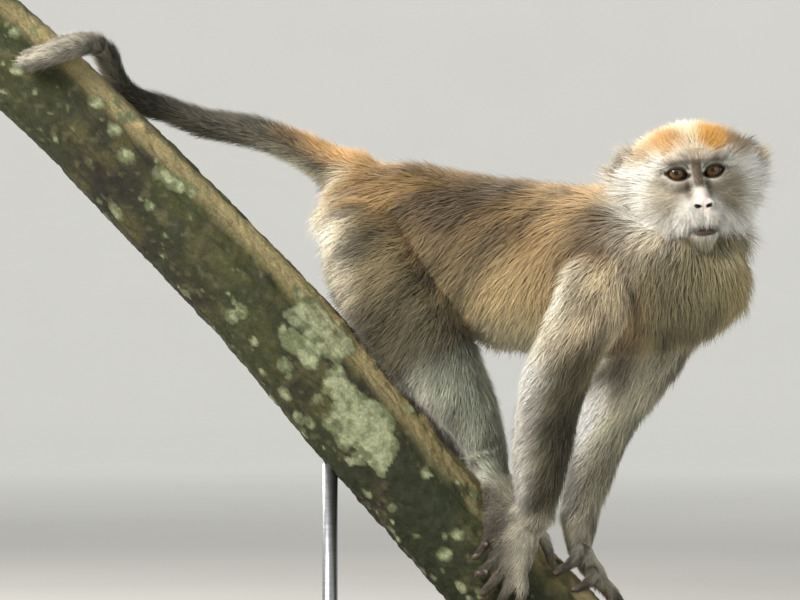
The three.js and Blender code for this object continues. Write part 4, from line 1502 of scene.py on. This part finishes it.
def base_plate(low, high, corner=34.0, edge=3.0):
    """A flat board with round corners and a soft routed edge."""
    half = (high - low)[:2] / 2
    middle = (high + low) / 2
    thick = high[2] - low[2]
    turn = circle(96)
    way = np.stack([np.cos(turn), np.sin(turn)], 1)
    core = (half - corner) * np.sign(way.round(6))
    steps = [(edge * (1 - math.sin(a)), edge * (1 - math.cos(a))) for a in np.linspace(0, math.pi / 2, 6)]
    levels = steps + [(inward, thick - z) for inward, z in reversed(steps)]
    rows = [np.column_stack([core + (corner - inward) * way, np.full(len(turn), z)]) for inward, z in levels]
    points = np.concatenate([*rows, [[0, 0, 0], [0, 0, thick]]]) + (middle[0], middle[1], low[2])
    return fast_mesh("walnut_base", points, ring_faces(len(rows), len(turn), True))


dress(base_plate(*node_box("stand_base")), walnut_look(), "walnut", "stand_base")

# ---- floor, light, camera

FLOOR_FLAT = 11.0  # metres from the middle to where the floor begins to rise
FLOOR_BEND = 3.0
WALL_TOP = 3.8


def studio_floor(segments=96):
    """A round pale floor that curves up all round into a low wall, so that no horizon shows."""
    bend = [(FLOOR_FLAT + FLOOR_BEND * math.sin(a), FLOOR_BEND * (1 - math.cos(a)))
            for a in np.linspace(0, math.pi / 2, 17)]
    profile = [(1.5, 0), (2.5, 0), (3.5, 0), (4.6, 0), (6.8, 0), *bend, (FLOOR_FLAT + FLOOR_BEND, WALL_TOP)]
    rows = [(r * math.cos(a), r * math.sin(a), z) for r, z in profile for a in circle(segments)]
    points = np.array([*rows, (0, 0, 0)]) / MM
    return fast_mesh("floor", points, ring_faces(len(profile), segments, lid=False))


floor = studio_floor()
outward = np.array([math.hypot(*v.co[:2]) for v in floor.data.vertices])
# The floor's tint, darker grey near the middle and pale further out, also drives its emission: the floor and
# wall glow as painted light, though they are no lamp.
paint(floor, blend(linear(166, 165, 161), linear(234, 233, 229), ease(2.4, 6.6, outward)))
paper = Look("glowing_floor_paper", 0.95, Emission_Strength=0.24, Specular_IOR_Level=0.1)
paper.shaded(paper.tint(), paper.noise(3, 2.0), (0.3, 0.975), (0.7, 1.0))
paper.link(paper.tint(), "Emission Color")
floor.data.materials.append(paper.material)


def lamp(name, where, aim, size, power, tint=(1, 1, 1)):
    light = bpy.data.lights.new(name, "AREA")
    light.shape = "SQUARE"
    light.size = size
    light.energy = power
    light.color = tint
    obj = bpy.data.objects.new(name, light)
    obj.visible_camera = False
    obj.location = where
    obj.rotation_euler = (Vector(aim) - Vector(where)).to_track_quat("-Z", "Y").to_euler()
    bpy.context.scene.collection.objects.link(obj)


AIM = (0.1, 0.0, 0.4)
lamp("key", (-1.8, -1.6, 2.0), AIM, 0.9, 106, (1.0, 0.96, 0.90))
lamp("rim", (-1.2, 1.7, 2.1), AIM, 0.9, 88, (1.0, 0.97, 0.92))
lamp("fill", (2.2, -2.2, 1.0), AIM, 1.6, 13, (0.95, 0.98, 0.95))

world = bpy.data.worlds.new("studio")
world.use_nodes = True
sky = world.node_tree.nodes["Background"].inputs
sky["Color"].default_value = (0.80, 0.81, 0.80, 1)
sky["Strength"].default_value = 0.60
bpy.context.scene.world = world

camera = bpy.data.cameras.new("camera")
camera.lens = 200
camera.sensor_width = 36
camera.clip_end = 100
view = bpy.data.objects.new("camera", camera)
view.location = CAMERA_AT * MM
view.rotation_euler = (math.pi / 2, 0, 0)
bpy.context.scene.collection.objects.link(view)
bpy.context.scene.camera = view
bpy.context.scene.view_settings.view_transform = "Standard"
